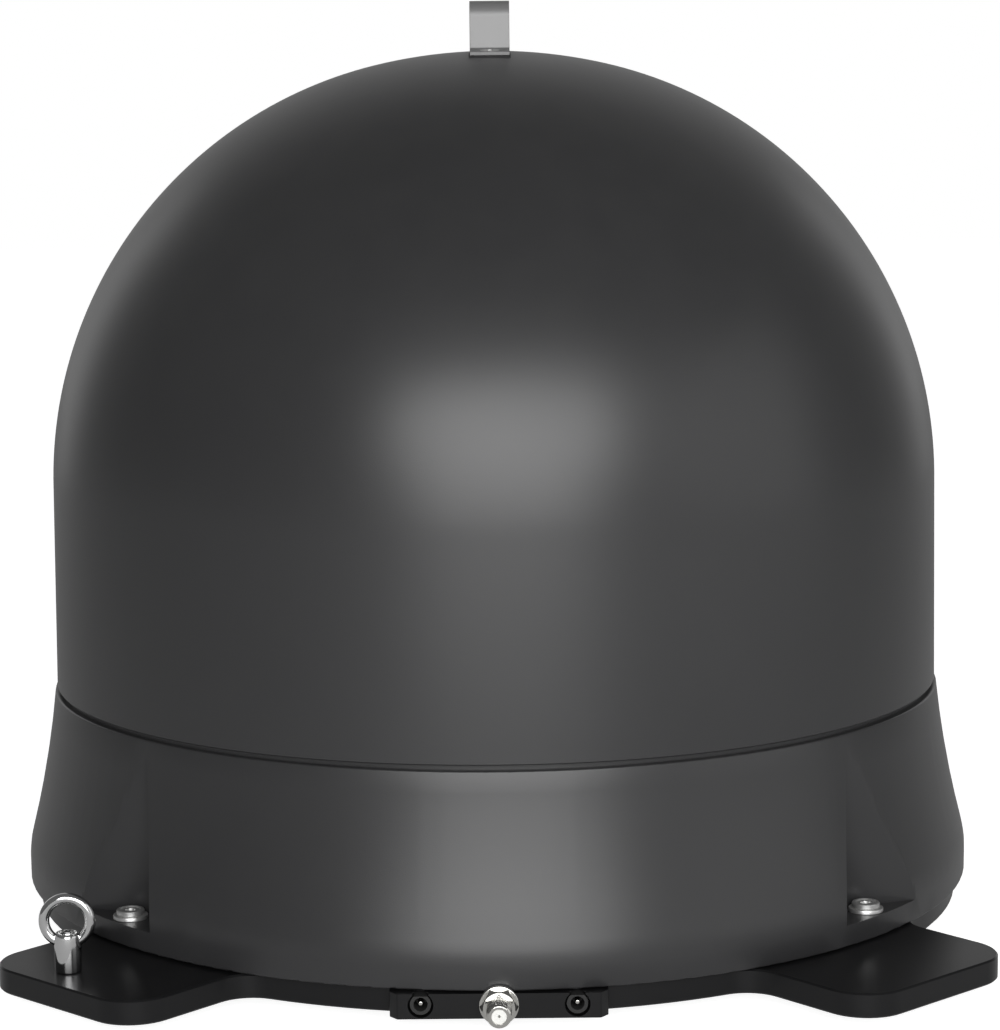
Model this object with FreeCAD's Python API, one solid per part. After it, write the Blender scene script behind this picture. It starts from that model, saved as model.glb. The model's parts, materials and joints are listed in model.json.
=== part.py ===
import FreeCAD, Part
import math
import os
from FreeCAD import Vector as V

# Portable satellite-dome antenna.  Millimetres, +Z up.
# Origin: on the dome's upright axis, at the base plate's underside.  -Y is the connector side.
# The heights below are counted from the ground under the rubber feet; save() lowers each piece.
# Azimuths are counted from the front, positive towards +X.

# ---- levels ----
PAD_H = 6.0
PLATE_T = 10.0
PLATE_TOP = PAD_H + PLATE_T
SEAM_Z = PLATE_TOP + 0.5

# ---- base plate ----
PLATE_R = 206.9
LOBE_AZIMUTHS = (42.0, 138.0, 222.0, 318.0)
LOBE_REACH = 262.0
LOBE_HALF = 45.5
LOBE_CORNER = 19.0
LOBE_FILLET = 15.0
PAD_FACE_Y = -212.5
PAD_HALF = 39.5
FOOT_R = 14.0
FOOT_PITCH_R = 226.0

# ---- cover: skirt ----
SKIRT_R = 211.4
BAND_H = 9.4
ROUND_R = 38.9
FLARE_R = 433.0
FLARE_LOW = math.radians(14.9)
FLARE_HIGH = math.radians(6.2)
WALL = 3.0
FLANGE_R = 192.0
FLANGE_T = 3.5

# ---- cover: dome ----
DOME_R = 196.3
DOME_FOOT_R = 197.2
CROWN_R = 223.4
SHOULDER_R = 188.3
SPRING_Z = SEAM_Z + 173.7
GROOVE_GAP = 1.4
SPIGOT_R = 195.0
SPIGOT_T = 2.2
SPIGOT_H = 11.0

# ---- cover screws and their pockets ----
SCREW_X = 151.6
SCREW_Y = 135.2
POCKET_FLOOR = 9.0
POCKET_LOW = (141.1, -130.0)
POCKET_HIGH = (142.8, -138.9)
FACET_TURN = 17.0

# ---- carry handle ----
STRIP_W = 17.2
STRIP_T = 1.6
HANDLE_HALF = 27.0
HANDLE_FOOT = 38.0
HANDLE_RISE = 21.0
GASKET_T = 0.6

# ---- eye bolt, coax and power sockets ----
EYE_R = 247.0
EYE_AZ = -43.9
COAX_Z = SEAM_Z - 5.0
THREAD_R = 4.75
SHANK_R = 3.9
BORE_R = 2.9
COAX_TIP_Y = -227.6
POWER_X = 30.4

# ---- azimuth drive ----
AZ_MODULE = 1.5
AZ_RING_TEETH = 96
AZ_PINION_TEETH = 16
AZ_PINION_DIR = 160.0
SPINDLE_R = 15.0
BALL_R = 2.9
BALL_PITCH_R = 21.0
BALL_COUNT = 12
BEARING_Z = 24.0
BEARING_H = 10.0
TABLE_Z = 37.0
TABLE_T = 3.0
TABLE_R = 118.0
TABLE_TOP = TABLE_Z + TABLE_T

# ---- elevation axis and drive ----
AXIS_Y = 50.0
AXIS_Z = 178.0
REST_ELEVATION = 30.0
EL_MODULE = 1.25
SECTOR_TEETH = 80
EL_PINION_TEETH = 16
EL_PINION_DIR = -35.0
ARM_X = 45.0
ARM_T = 3.0

# ---- reflector, in a frame whose -Y is the boresight and whose origin is the elevation axis ----
VERTEX = 20.0
FOCAL = 120.0
DISH_A = 150.0
DISH_B = 135.0
DISH_T = 1.5

os.makedirs("parts", exist_ok=True)


# ---------------------------------------------------------------- helpers
def save(name, shape):
    """Write one piece, or one group of like pieces, with the plate's underside at z = 0."""
    placed = shape.copy()
    placed.translate(V(0, 0, -PAD_H))
    placed.exportStep("parts/" + name + ".step")


def group(shapes):
    return Part.makeCompound(shapes)


def polar(radius, azimuth, z=0.0):
    """Point at an azimuth counted from the front."""
    a = math.radians(azimuth)
    return V(radius * math.sin(a), -radius * math.cos(a), z)


def rod(radius, start, end):
    """Round bar between two points."""
    run = end - start
    return Part.makeCylinder(radius, run.Length, start, run)


def block(x0, x1, y0, y1, z0, z1):
    return Part.makeBox(x1 - x0, y1 - y0, z1 - z0, V(x0, y0, z0))


def ring(outer, inner, z0, z1):
    return rod(outer, V(0, 0, z0), V(0, 0, z1)).cut(rod(inner, V(0, 0, z0 - 1), V(0, 0, z1 + 1)))


def fuse(shapes):
    return shapes[0].fuse(shapes[1:]).removeSplitter()


def hexagon(across_flats, start, end, turn=0.0):
    """Hexagonal bar between two points."""
    run = end - start
    corner = across_flats / math.sqrt(3.0)
    rim = []
    for i in range(7):
        a = math.radians(turn + 60.0 * i)
        rim.append(V(corner * math.cos(a), corner * math.sin(a), 0))
    bar = Part.Face(Part.makePolygon(rim)).extrude(V(0, 0, run.Length))
    place = FreeCAD.Placement(start, FreeCAD.Rotation(V(0, 0, 1), run))
    bar.Placement = place
    return bar


def rounded_face(corners, radii, lift=None):
    """Flat face through corners given as (a, b) pairs, each rounded by its radius.

    lift maps (a, b) to a point in space; left out, the face lies in XY.
    """
    lift = lift or (lambda a, b: V(a, b, 0))
    edges = []
    ends = []
    count = len(corners)
    for i in range(count):
        here = V(corners[i][0], corners[i][1], 0)
        back = V(corners[i - 1][0], corners[i - 1][1], 0) - here
        ahead = V(corners[(i + 1) % count][0], corners[(i + 1) % count][1], 0) - here
        back.normalize()
        ahead.normalize()
        r = radii[i]
        if r <= 0.0:
            ends.append((here, here, None))
            continue
        half = back.getAngle(ahead) / 2.0
        reach = r / math.tan(half)
        bisector = back + ahead
        bisector.normalize()
        middle = here + bisector * (r / math.sin(half) - r)
        ends.append((here + back * reach, here + ahead * reach, middle))
    for i in range(count):
        start, end, middle = ends[i]
        if middle is not None:
            arc = Part.Arc(lift(start.x, start.y), lift(middle.x, middle.y), lift(end.x, end.y))
            edges.append(arc.toShape())
        after = ends[(i + 1) % count][0]
        if (after - end).Length > 1e-6:
            edges.append(Part.makeLine(lift(end.x, end.y), lift(after.x, after.y)))
    return Part.Face(Part.Wire(edges))


def ribbon(path, radii, thickness, width):
    """Bent strip: path of (y, z) points, its bends rounded, width along X."""
    count = len(path)
    sides = []
    for side in (0.5, -0.5):
        points = []
        for i in range(count):
            y, z = path[i]
            before = path[max(i - 1, 0)]
            after = path[min(i + 1, count - 1)]
            d1 = V(y - before[0], z - before[1], 0)
            d2 = V(after[0] - y, after[1] - z, 0)
            if d1.Length < 1e-9:
                d1 = V(d2)
            if d2.Length < 1e-9:
                d2 = V(d1)
            d1.normalize()
            d2.normalize()
            n1 = V(-d1.y, d1.x, 0)
            mitre = n1 + V(-d2.y, d2.x, 0)
            mitre.normalize()
            step = side * thickness / mitre.dot(n1)
            points.append((y + mitre.x * step, z + mitre.y * step))
        sides.append(points)
    left, right = sides
    outline = left + right[::-1]
    rounding = [0.0] * len(outline)
    for i in range(1, count - 1):
        turn = (path[i][0] - path[i - 1][0]) * (path[i + 1][1] - path[i][1])
        turn -= (path[i][1] - path[i - 1][1]) * (path[i + 1][0] - path[i][0])
        wide = radii[i - 1] + thickness / 2.0
        tight = radii[i - 1] - thickness / 2.0
        rounding[i] = tight if turn > 0 else wide
        rounding[2 * count - 1 - i] = wide if turn > 0 else tight
    face = rounded_face(outline, rounding, lambda a, b: V(-width / 2.0, a, b))
    return face.extrude(V(width, 0, 0))


def lead(points, radius, bend):
    """Round lead along straight runs joined by tangent arcs."""
    edges = []
    start = points[0]
    for i in range(1, len(points) - 1):
        corner = points[i]
        back = points[i - 1] - corner
        ahead = points[i + 1] - corner
        back.normalize()
        ahead.normalize()
        half = back.getAngle(ahead) / 2.0
        reach = bend / math.tan(half)
        bisector = back + ahead
        bisector.normalize()
        first = corner + back * reach
        last = corner + ahead * reach
        middle = corner + bisector * (bend / math.sin(half) - bend)
        edges.append(Part.makeLine(start, first))
        edges.append(Part.Arc(first, middle, last).toShape())
        start = last
    edges.append(Part.makeLine(start, points[-1]))
    path = Part.Wire(edges)
    run = points[1] - points[0]
    section = Part.Wire([Part.Circle(points[0], run, radius).toShape()])
    return path.makePipeShell([section], True, False)


def gear_face(teeth, module, thinning, phase):
    """Outline of an involute gear, with a tooth centred on the angle phase, in degrees."""
    pressure = math.radians(20.0)
    pitch_r = teeth * module / 2.0
    base_r = pitch_r * math.cos(pressure)
    tip_r = pitch_r + 0.95 * module
    root_r = pitch_r - 1.25 * module
    low_r = max(base_r, root_r)
    half_pitch = math.pi / (2.0 * teeth) - thinning / (2.0 * pitch_r)
    flank = []
    for i in range(4):
        r = low_r + (tip_r - low_r) * i / 3.0
        roll = math.acos(min(1.0, base_r / r))
        half = half_pitch + math.tan(pressure) - pressure - (math.tan(roll) - roll)
        flank.append((r, half))
    if low_r > root_r:
        flank.insert(0, (root_r, flank[0][1]))
    points = []
    for i in range(teeth):
        centre = math.radians(phase) + 2.0 * math.pi * i / teeth
        for r, half in flank:
            points.append(V(r * math.cos(centre - half), r * math.sin(centre - half), 0))
        for r, half in reversed(flank):
            points.append(V(r * math.cos(centre + half), r * math.sin(centre + half), 0))
    points.append(points[0])
    return Part.Face(Part.makePolygon(points))


def bolt(point, direction, shank_r, length, head_r, head_h, socket):
    """Round-headed screw: point is under the head, direction runs along the shank."""
    axis = V(direction)
    axis.normalize()
    top = point - axis * head_h
    head = rod(head_r, top, point)
    rim = [e for e in head.Edges if e.CenterOfMass.distanceToPoint(top) < 0.01 and e.Closed]
    head = head.makeFillet(head_h * 0.45, rim)
    head = head.cut(hexagon(socket, top - axis, top + axis * head_h * 0.55))
    return head.fuse(rod(shank_r, point, point + axis * length)).removeSplitter()


def four_ways(shape):
    """A shape and its mirror images in the two upright planes."""
    right = shape
    left = shape.mirror(V(0, 0, 0), V(1, 0, 0))
    return [right, left, right.mirror(V(0, 0, 0), V(0, 1, 0)), left.mirror(V(0, 0, 0), V(0, 1, 0))]


# ---------------------------------------------------------------- cover
def arc_point(centre_r, centre_z, radius, angle):
    return V(centre_r + radius * math.cos(angle), 0, centre_z + radius * math.sin(angle))


def dome_top_z():
    drop = math.sqrt((CROWN_R - SHOULDER_R) ** 2 - (DOME_R - SHOULDER_R) ** 2)
    return SPRING_Z - drop + CROWN_R


DOME_TOP = dome_top_z()
CROWN_Z = DOME_TOP - CROWN_R
SKIRT_TOP = SEAM_Z + BAND_H + ROUND_R * math.sin(FLARE_LOW)
SKIRT_TOP += FLARE_R * (math.sin(FLARE_LOW) - math.sin(FLARE_HIGH))
DOME_FOOT_Z = SKIRT_TOP + GROOVE_GAP


def dome_half(offset):
    """Edges from the dome's foot to its crown, offset inwards."""
    meet = math.atan2(SPRING_Z - CROWN_Z, DOME_R - SHOULDER_R)
    shoulder_c = DOME_R - SHOULDER_R
    foot = V(DOME_FOOT_R - offset, 0, DOME_FOOT_Z)
    spring = V(DOME_R - offset, 0, SPRING_Z)
    shoulder = SHOULDER_R - offset
    crown = CROWN_R - offset
    top = V(0, 0, DOME_TOP - offset)
    mid1 = arc_point(shoulder_c, SPRING_Z, shoulder, meet / 2.0)
    join = arc_point(shoulder_c, SPRING_Z, shoulder, meet)
    mid2 = arc_point(0, CROWN_Z, crown, (meet + math.pi / 2.0) / 2.0)
    edges = [Part.makeLine(foot, spring)]
    edges.append(Part.Arc(spring, mid1, join).toShape())
    edges.append(Part.Arc(join, mid2, top).toShape())
    return foot, top, edges


def handle_seat(y):
    """Height of the crown's surface at a distance y from the axis."""
    return CROWN_Z + math.sqrt(CROWN_R ** 2 - y ** 2)


def handle_screw_places():
    """Seat point and inward direction of the two handle screws."""
    y = (HANDLE_HALF + HANDLE_FOOT) / 2.0
    places = []
    for side in (-1, 1):
        seat = V(0, side * y, handle_seat(y))
        places.append((seat, V(0, 0, CROWN_Z) - seat))
    return places


def dome_shell():
    out_foot, out_top, outer = dome_half(0.0)
    in_foot, in_top, inner = dome_half(WALL)
    low = DOME_FOOT_Z - SPIGOT_H
    inside_r = SPIGOT_R - SPIGOT_T
    corners = [out_foot, V(SPIGOT_R, 0, DOME_FOOT_Z), V(SPIGOT_R, 0, low)]
    corners += [V(inside_r, 0, low), V(inside_r, 0, DOME_FOOT_Z - 2.0), in_foot]
    edges = outer + [Part.makeLine(out_top, in_top)] + inner
    for a, b in zip(corners, corners[1:]):
        edges.append(Part.makeLine(a, b))
    face = Part.Face(Part.Wire(Part.__sortEdges__(edges)))
    shell = face.revolve(V(0, 0, 0), V(0, 0, 1), 360)
    for seat, inward in handle_screw_places():
        inward.normalize()
        shell = shell.cut(rod(2.7, seat - inward * 5.0, seat + inward * 8.0))
    return shell


def skirt_outline(offset, low_z):
    """Solid of revolution inside the skirt's outer wall, offset inwards, from low_z up."""
    band_top = SEAM_Z + BAND_H
    round_c = V(SKIRT_R - ROUND_R, 0, band_top)
    round_r = ROUND_R - offset
    knee = arc_point(round_c.x, round_c.z, round_r, FLARE_LOW)
    knee_mid = arc_point(round_c.x, round_c.z, round_r, FLARE_LOW / 2.0)
    flare_r = FLARE_R + offset
    flare_c = arc_point(round_c.x, round_c.z, ROUND_R + FLARE_R, FLARE_LOW)
    middle = (FLARE_LOW + FLARE_HIGH) / 2.0
    flare_mid = V(flare_c.x - flare_r * math.cos(middle), 0, flare_c.z - flare_r * math.sin(middle))
    top = V(flare_c.x - flare_r * math.cos(FLARE_HIGH), 0, flare_c.z - flare_r * math.sin(FLARE_HIGH))
    foot = V(SKIRT_R - offset, 0, low_z)
    band = V(SKIRT_R - offset, 0, band_top)
    edges = [Part.makeLine(V(0, 0, low_z), foot), Part.makeLine(foot, band)]
    edges.append(Part.Arc(band, knee_mid, knee).toShape())
    edges.append(Part.Arc(knee, flare_mid, top).toShape())
    edges.append(Part.makeLine(top, V(0, 0, top.z)))
    edges.append(Part.makeLine(V(0, 0, top.z), V(0, 0, low_z)))
    return Part.Face(Part.Wire(edges)).revolve(V(0, 0, 0), V(0, 0, 1), 360)


def pocket_prism(grow, low_z):
    """Wedge beside the front panel's right edge: an upright side wall and a leaning back facet."""
    turn = math.radians(FACET_TURN)
    forward = V(0, -1, 0)
    facet = V(math.cos(turn), math.sin(turn), 0)
    inset = grow * (1.0 - math.sin(turn)) / math.cos(turn)
    wires = []
    rise = SKIRT_TOP - SEAM_Z - POCKET_FLOOR
    for z in (low_z, SKIRT_TOP + 0.5):
        part_way = (z - SEAM_Z - POCKET_FLOOR) / rise
        x = POCKET_LOW[0] + part_way * (POCKET_HIGH[0] - POCKET_LOW[0])
        y = POCKET_LOW[1] + part_way * (POCKET_HIGH[1] - POCKET_LOW[1])
        corner = V(x - grow, y + inset, 0)
        far = corner + facet * 75.0
        outside = far + forward * 70.0
        near = corner + forward * 70.0
        ring_points = [corner, far, outside, near, corner]
        wires.append(Part.makePolygon([p + V(0, 0, z) for p in ring_points]))
    return Part.makeLoft(wires, True, True)


def skirt_ring():
    outer = skirt_outline(0.0, SEAM_Z)
    lip = [e for e in outer.Edges if abs(e.CenterOfMass.z - SKIRT_TOP) < 0.01 and e.Closed]
    outer = outer.makeFillet(0.9, lip)
    foot = [e for e in outer.Edges if abs(e.CenterOfMass.z - SEAM_Z) < 0.01 and e.Closed]
    outer = outer.makeFillet(0.8, foot)
    inner = skirt_outline(WALL, SEAM_Z + FLANGE_T)
    bore = rod(FLANGE_R, V(0, 0, SEAM_Z - 1.0), V(0, 0, SEAM_Z + FLANGE_T + 1.0))
    shell = outer.cut(inner).cut(bore)
    shell = shell.fuse(ring(SPIGOT_R + 2.0, SPIGOT_R - 0.5, SKIRT_TOP - 6.0, SKIRT_TOP - 1.0))
    for thick in four_ways(pocket_prism(WALL, SEAM_Z)):
        wall = thick.common(outer).cut(rod(SPIGOT_R - SPIGOT_T - 6.0, V(0, 0, 0), V(0, 0, 400)))
        shell = shell.fuse(wall)
    spigot = rod(SPIGOT_R, V(0, 0, SKIRT_TOP - SPIGOT_H), V(0, 0, SKIRT_TOP + 5.0))
    shell = shell.cut(spigot)
    for pocket in four_ways(pocket_prism(0.0, SEAM_Z + POCKET_FLOOR)):
        shell = shell.cut(pocket)
    for x, y in screw_places():
        shell = shell.cut(rod(3.3, V(x, y, SEAM_Z - 1.0), V(x, y, SEAM_Z + POCKET_FLOOR + 1.0)))
    return shell


def screw_places():
    return [(sx * SCREW_X, sy * SCREW_Y) for sx in (1, -1) for sy in (-1, 1)]


WASHER_T = 1.7
WASHER_R = 7.2
HEAD_R = 5.8
HEAD_H = 2.2


def cover_washers():
    base = SEAM_Z + POCKET_FLOOR
    washers = []
    for x, y in screw_places():
        disc = rod(WASHER_R, V(x, y, base), V(x, y, base + WASHER_T))
        upper = [e for e in disc.Edges if abs(e.CenterOfMass.z - base - WASHER_T) < 0.01 and e.Closed]
        disc = disc.makeFillet(0.6, upper)
        washers.append(disc.cut(rod(3.15, V(x, y, base - 1.0), V(x, y, base + 5.0))))
    return group(washers)


def cover_screws():
    under = SEAM_Z + POCKET_FLOOR + WASHER_T
    length = under - (PLATE_TOP - 8.0)
    screws = []
    for x, y in screw_places():
        screw = bolt(V(x, y, under), V(0, 0, -1), 3.0, length, HEAD_R, HEAD_H, 4.0)
        dish = rod(4.1, V(x, y, under + HEAD_H * 0.7), V(x, y, under + 5.0))
        screws.append(screw.cut(dish))
    return group(screws)


def handle_path():
    low = HANDLE_FOOT
    rise = GASKET_T + STRIP_T / 2.0
    foot_z = handle_seat(low) + rise
    knee_z = handle_seat(HANDLE_HALF) + rise
    top_z = DOME_TOP + HANDLE_RISE - STRIP_T / 2.0
    half = [(-low, foot_z), (-HANDLE_HALF, knee_z), (-HANDLE_HALF, top_z)]
    return half + [(-y, z) for y, z in reversed(half)]


def carry_handle():
    strip = ribbon(handle_path(), [1.6, 6.0, 6.0, 1.6], STRIP_T, STRIP_W)
    for seat, inward in handle_screw_places():
        inward.normalize()
        strip = strip.cut(rod(2.7, seat - inward * 6.0, seat + inward * 2.0))
        top = seat - inward * (GASKET_T + STRIP_T + 0.4)
        strip = strip.cut(Part.makeCone(4.95, 2.55, 2.0, top, inward))
    return strip


def handle_gaskets():
    """Thin pads between the strip's feet and the crown."""
    pads = []
    crown = Part.makeSphere(CROWN_R, V(0, 0, CROWN_Z))
    over = Part.makeSphere(CROWN_R + GASKET_T - 0.1, V(0, 0, CROWN_Z))
    half = STRIP_W / 2.0 + 0.4
    for side, (seat, inward) in zip((-1, 1), handle_screw_places()):
        near = side * (HANDLE_HALF - 1.6)
        far = side * (HANDLE_FOOT + 0.4)
        pad = block(-half, half, min(near, far), max(near, far), DOME_TOP - 8.0, DOME_TOP + 5.0)
        pad = pad.common(over).cut(crown)
        inward.normalize()
        pads.append(pad.cut(rod(2.7, seat - inward * 6.0, seat + inward * 2.0)))
    return group(pads)


def handle_screws():
    screws = []
    for seat, inward in handle_screw_places():
        inward.normalize()
        top = seat - inward * (GASKET_T + STRIP_T - 0.1)
        cone = Part.makeCone(4.3, 2.5, 1.5, top, inward)
        screw = cone.fuse(rod(2.5, top, top + inward * 14.0)).removeSplitter()
        screws.append(screw.cut(hexagon(3.0, top - inward, top + inward * 2.0)))
    return group(screws)


def handle_nuts():
    nuts = []
    for seat, inward in handle_screw_places():
        inward.normalize()
        start = seat + inward * (WALL + 0.1)
        nut = hexagon(8.0, start, start + inward * 4.0)
        nuts.append(nut.cut(rod(2.5, start - inward, start + inward * 6.0)))
    return group(nuts)


# ---------------------------------------------------------------- base plate and what is in it
def plate_outline():
    """Round plate with four rounded lobes, its hollow corners filleted."""
    edges = []
    reach_f = math.sqrt((PLATE_R + LOBE_FILLET) ** 2 - (LOBE_HALF + LOBE_FILLET) ** 2)
    swing = math.atan2(LOBE_HALF + LOBE_FILLET, reach_f)
    corner_c = (LOBE_REACH - LOBE_CORNER, LOBE_HALF - LOBE_CORNER)
    diagonal = math.sqrt(0.5)
    half = [(PLATE_R * math.cos(swing), PLATE_R * math.sin(swing)), None, (reach_f, LOBE_HALF)]
    toward = math.atan2(-(LOBE_HALF + LOBE_FILLET), -reach_f)
    middle = (toward - math.pi / 2.0) / 2.0
    half[1] = (reach_f + LOBE_FILLET * math.cos(middle), LOBE_HALF + LOBE_FILLET * (1 + math.sin(middle)))
    half.append((corner_c[0], LOBE_HALF))
    half.append((corner_c[0] + LOBE_CORNER * diagonal, corner_c[1] + LOBE_CORNER * diagonal))
    half.append((LOBE_REACH, corner_c[1]))
    previous = None
    first = None
    angles = [math.radians(azimuth - 90.0) for azimuth in LOBE_AZIMUTHS]
    for angle in angles:
        lobe = [(u, -v) for u, v in half] + [(u, v) for u, v in reversed(half)]
        c, s = math.cos(angle), math.sin(angle)
        p = [V(u * c - v * s, u * s + v * c, 0) for u, v in lobe]
        if previous is not None:
            edges.append(rim_arc(previous, p[0]))
        first = first or p[0]
        for i, j, k in ((0, 1, 2), (3, 4, 5), (6, 7, 8), (9, 10, 11)):
            edges.append(Part.Arc(p[i], p[j], p[k]).toShape())
        for i, j in ((2, 3), (5, 6), (8, 9)):
            edges.append(Part.makeLine(p[i], p[j]))
        previous = p[11]
    edges.append(rim_arc(previous, first))
    return Part.Face(Part.Wire(Part.__sortEdges__(edges)))


def rim_arc(a, b):
    """Arc of the plate's round rim, anticlockwise from a to b."""
    start = math.atan2(a.y, a.x)
    end = math.atan2(b.y, b.x)
    if end < start:
        end += 2.0 * math.pi
    mid = (start + end) / 2.0
    return Part.Arc(a, V(PLATE_R * math.cos(mid), PLATE_R * math.sin(mid), 0), b).toShape()


BAY_Y = (-186.5, -164.0)
CHANNEL_HALF = 4.0
SEAL_IN = 192.6
SEAL_OUT = 195.0
SEAL_DEPTH = 0.5


def base_plate():
    slab = plate_outline().extrude(V(0, 0, PLATE_T))
    slab.translate(V(0, 0, PAD_H))
    rims = []
    for e in slab.Edges:
        if abs(e.BoundBox.ZMax - e.BoundBox.ZMin) < 0.01:
            rims.append(e)
    slab = slab.makeChamfer(0.7, rims)
    nose = [(-PAD_HALF - 3.0, -190.0), (-PAD_HALF - 3.0, PAD_FACE_Y + 4.0), (-PAD_HALF, PAD_FACE_Y)]
    nose += [(-x, y) for x, y in reversed(nose)]
    pad = rounded_face(nose, [0, 1.5, 1.0, 1.0, 1.5, 0], lambda a, b: V(a, b, PAD_H))
    plate = slab.fuse(pad.extrude(V(0, 0, PLATE_T)))
    cuts = [ring(SEAL_OUT, SEAL_IN, PLATE_TOP - SEAL_DEPTH, PLATE_TOP + 1.0)]
    cuts.append(block(-46.0, 46.0, BAY_Y[0], BAY_Y[1], PAD_H + 1.6, PLATE_TOP + 1.0))
    cuts.append(block(-CHANNEL_HALF, CHANNEL_HALF, BAY_Y[1] - 1.0, 0.0, PAD_H + 2.0, PLATE_TOP + 1.0))
    cuts.append(rod(9.0, V(0, 0, PAD_H + 2.0), V(0, 0, PLATE_TOP + 1.0)))
    cuts.append(rod(SHANK_R, V(0, PAD_FACE_Y - 1.0, COAX_Z), V(0, BAY_Y[0] + 1.0, COAX_Z)))
    for side in (-1, 1):
        x = side * POWER_X
        cuts.append(rod(5.0, V(x, PAD_FACE_Y - 1.0, COAX_Z), V(x, PAD_FACE_Y + 9.0, COAX_Z)))
        cuts.append(rod(3.6, V(x, PAD_FACE_Y, COAX_Z), V(x, BAY_Y[0] + 1.0, COAX_Z)))
        cuts.append(block(x - 3.1, x + 3.1, PAD_FACE_Y - 1.0, PAD_FACE_Y + 2.5, COAX_Z, PLATE_TOP + 1.0))
    for x, y in screw_places():
        cuts.append(rod(4.5, V(x, y, PLATE_TOP - 9.0), V(x, y, PLATE_TOP + 1.0)))
    eye = polar(EYE_R, EYE_AZ)
    cuts.append(rod(3.05, V(eye.x, eye.y, 0), V(eye.x, eye.y, 30)))
    cuts.append(hexagon(10.3, V(eye.x, eye.y, PAD_H - 1.0), V(eye.x, eye.y, PAD_H + 4.4)))
    for x, y in spindle_screw_places() + gear_screw_places():
        cuts.append(rod(2.0, V(x, y, PLATE_TOP - 8.0), V(x, y, PLATE_TOP + 1.0)))
    for x, y in board_screw_places():
        cuts.append(rod(1.5, V(x, y, PLATE_TOP - 7.0), V(x, y, PLATE_TOP + 1.0)))
    return plate.cut(cuts).removeSplitter()


def circle_places(count, radius, offset):
    places = []
    for i in range(count):
        a = math.radians(offset + 360.0 * i / count)
        places.append((radius * math.cos(a), radius * math.sin(a)))
    return places


def spindle_screw_places():
    return circle_places(6, 25.0, 0.0)


def gear_screw_places():
    return circle_places(6, 63.0, 0.0)


BOARD_X = 44.0
BOARD_Y = (-158.0, -112.0)
BOARD_Z = PLATE_TOP + 5.0
BOARD_T = 1.6


def board_screw_places():
    return [(sx * (BOARD_X - 5.0), y) for sx in (-1, 1) for y in (BOARD_Y[0] + 5.0, BOARD_Y[1] - 5.0)]


def rubber_feet():
    feet = []
    for azimuth in LOBE_AZIMUTHS:
        p = polar(FOOT_PITCH_R, azimuth)
        foot = rod(FOOT_R, V(p.x, p.y, 0), V(p.x, p.y, PAD_H))
        low = [e for e in foot.Edges if e.CenterOfMass.z < 0.01 and e.Closed]
        foot = foot.makeFillet(1.5, low)
        feet.append(foot)
    return group(feet)


def thread_inserts():
    sleeves = []
    for x, y in screw_places():
        sleeve = rod(4.5, V(x, y, PLATE_TOP - 9.0), V(x, y, PLATE_TOP))
        sleeves.append(sleeve.cut(rod(3.3, V(x, y, 0), V(x, y, 30))))
    return group(sleeves)


def seal_ring():
    """Flat seal in the plate's shallow groove, standing a little proud."""
    return ring(SEAL_OUT, SEAL_IN, PLATE_TOP - SEAL_DEPTH, SEAM_Z - 0.3)


EYE_POST_R = 5.4
EYE_POST_H = 16.0
EYE_RING_R = 9.2
EYE_WIRE_R = 2.15
EYE_CENTRE_H = 20.8


def eye_bolt():
    """Lifting eye: a collar with a through hole, and a ring across its top."""
    p = polar(EYE_R, EYE_AZ, PLATE_TOP)
    collar = rod(EYE_POST_R, p, p + V(0, 0, EYE_POST_H))
    ends = [e for e in collar.Edges if e.Closed]
    collar = collar.makeFillet(1.2, ends)
    centre = p + V(0, 0, EYE_CENTRE_H)
    loop = Part.makeTorus(EYE_RING_R, EYE_WIRE_R, centre, V(0, 1, 0))
    cup = rod(3.9, p + V(0, 0, EYE_POST_H - 2.0), p + V(0, 0, EYE_POST_H + 2.0))
    bore = rod(3.0, p - V(0, 0, 1), p + V(0, 0, EYE_POST_H - 2.0))
    loop = loop.cut(rod(3.9, p, p + V(0, 0, EYE_POST_H + 1.4)))
    return collar.cut(cup).cut(bore).fuse(loop).removeSplitter()


def eye_stud():
    p = polar(EYE_R, EYE_AZ)
    return rod(3.0, V(p.x, p.y, PAD_H + 0.4), V(p.x, p.y, PLATE_TOP + EYE_POST_H - 3.2))


def eye_locknut():
    p = polar(EYE_R, EYE_AZ)
    nut = hexagon(10.0, V(p.x, p.y, PAD_H + 0.2), V(p.x, p.y, PAD_H + 4.3))
    return nut.cut(rod(3.0, V(p.x, p.y, 0), V(p.x, p.y, 20)))


def coax_socket():
    """Threaded bulkhead socket for a satellite coax plug."""
    y0 = PAD_FACE_Y
    thread = rod(THREAD_R, V(0, y0, COAX_Z), V(0, COAX_TIP_Y, COAX_Z))
    tip = [e for e in thread.Edges if abs(e.CenterOfMass.y - COAX_TIP_Y) < 0.01 and e.Closed]
    thread = thread.makeChamfer(0.7, tip)
    shank = rod(SHANK_R, V(0, BAY_Y[0] + 6.0, COAX_Z), V(0, y0, COAX_Z))
    shoulder = hexagon(10.6, V(0, y0 - 5.0, COAX_Z), V(0, y0 - 8.0, COAX_Z), 30.0)
    body = thread.fuse([shank, shoulder])
    return body.cut(rod(BORE_R, V(0, COAX_TIP_Y - 1.0, COAX_Z), V(0, BAY_Y[0] + 7.0, COAX_Z)))


def coax_insulator():
    plug = rod(BORE_R, V(0, COAX_TIP_Y + 0.4, COAX_Z), V(0, BAY_Y[0] + 6.0, COAX_Z))
    return plug.cut(rod(0.55, V(0, COAX_TIP_Y - 1.0, COAX_Z), V(0, COAX_TIP_Y + 9.0, COAX_Z)))


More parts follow.
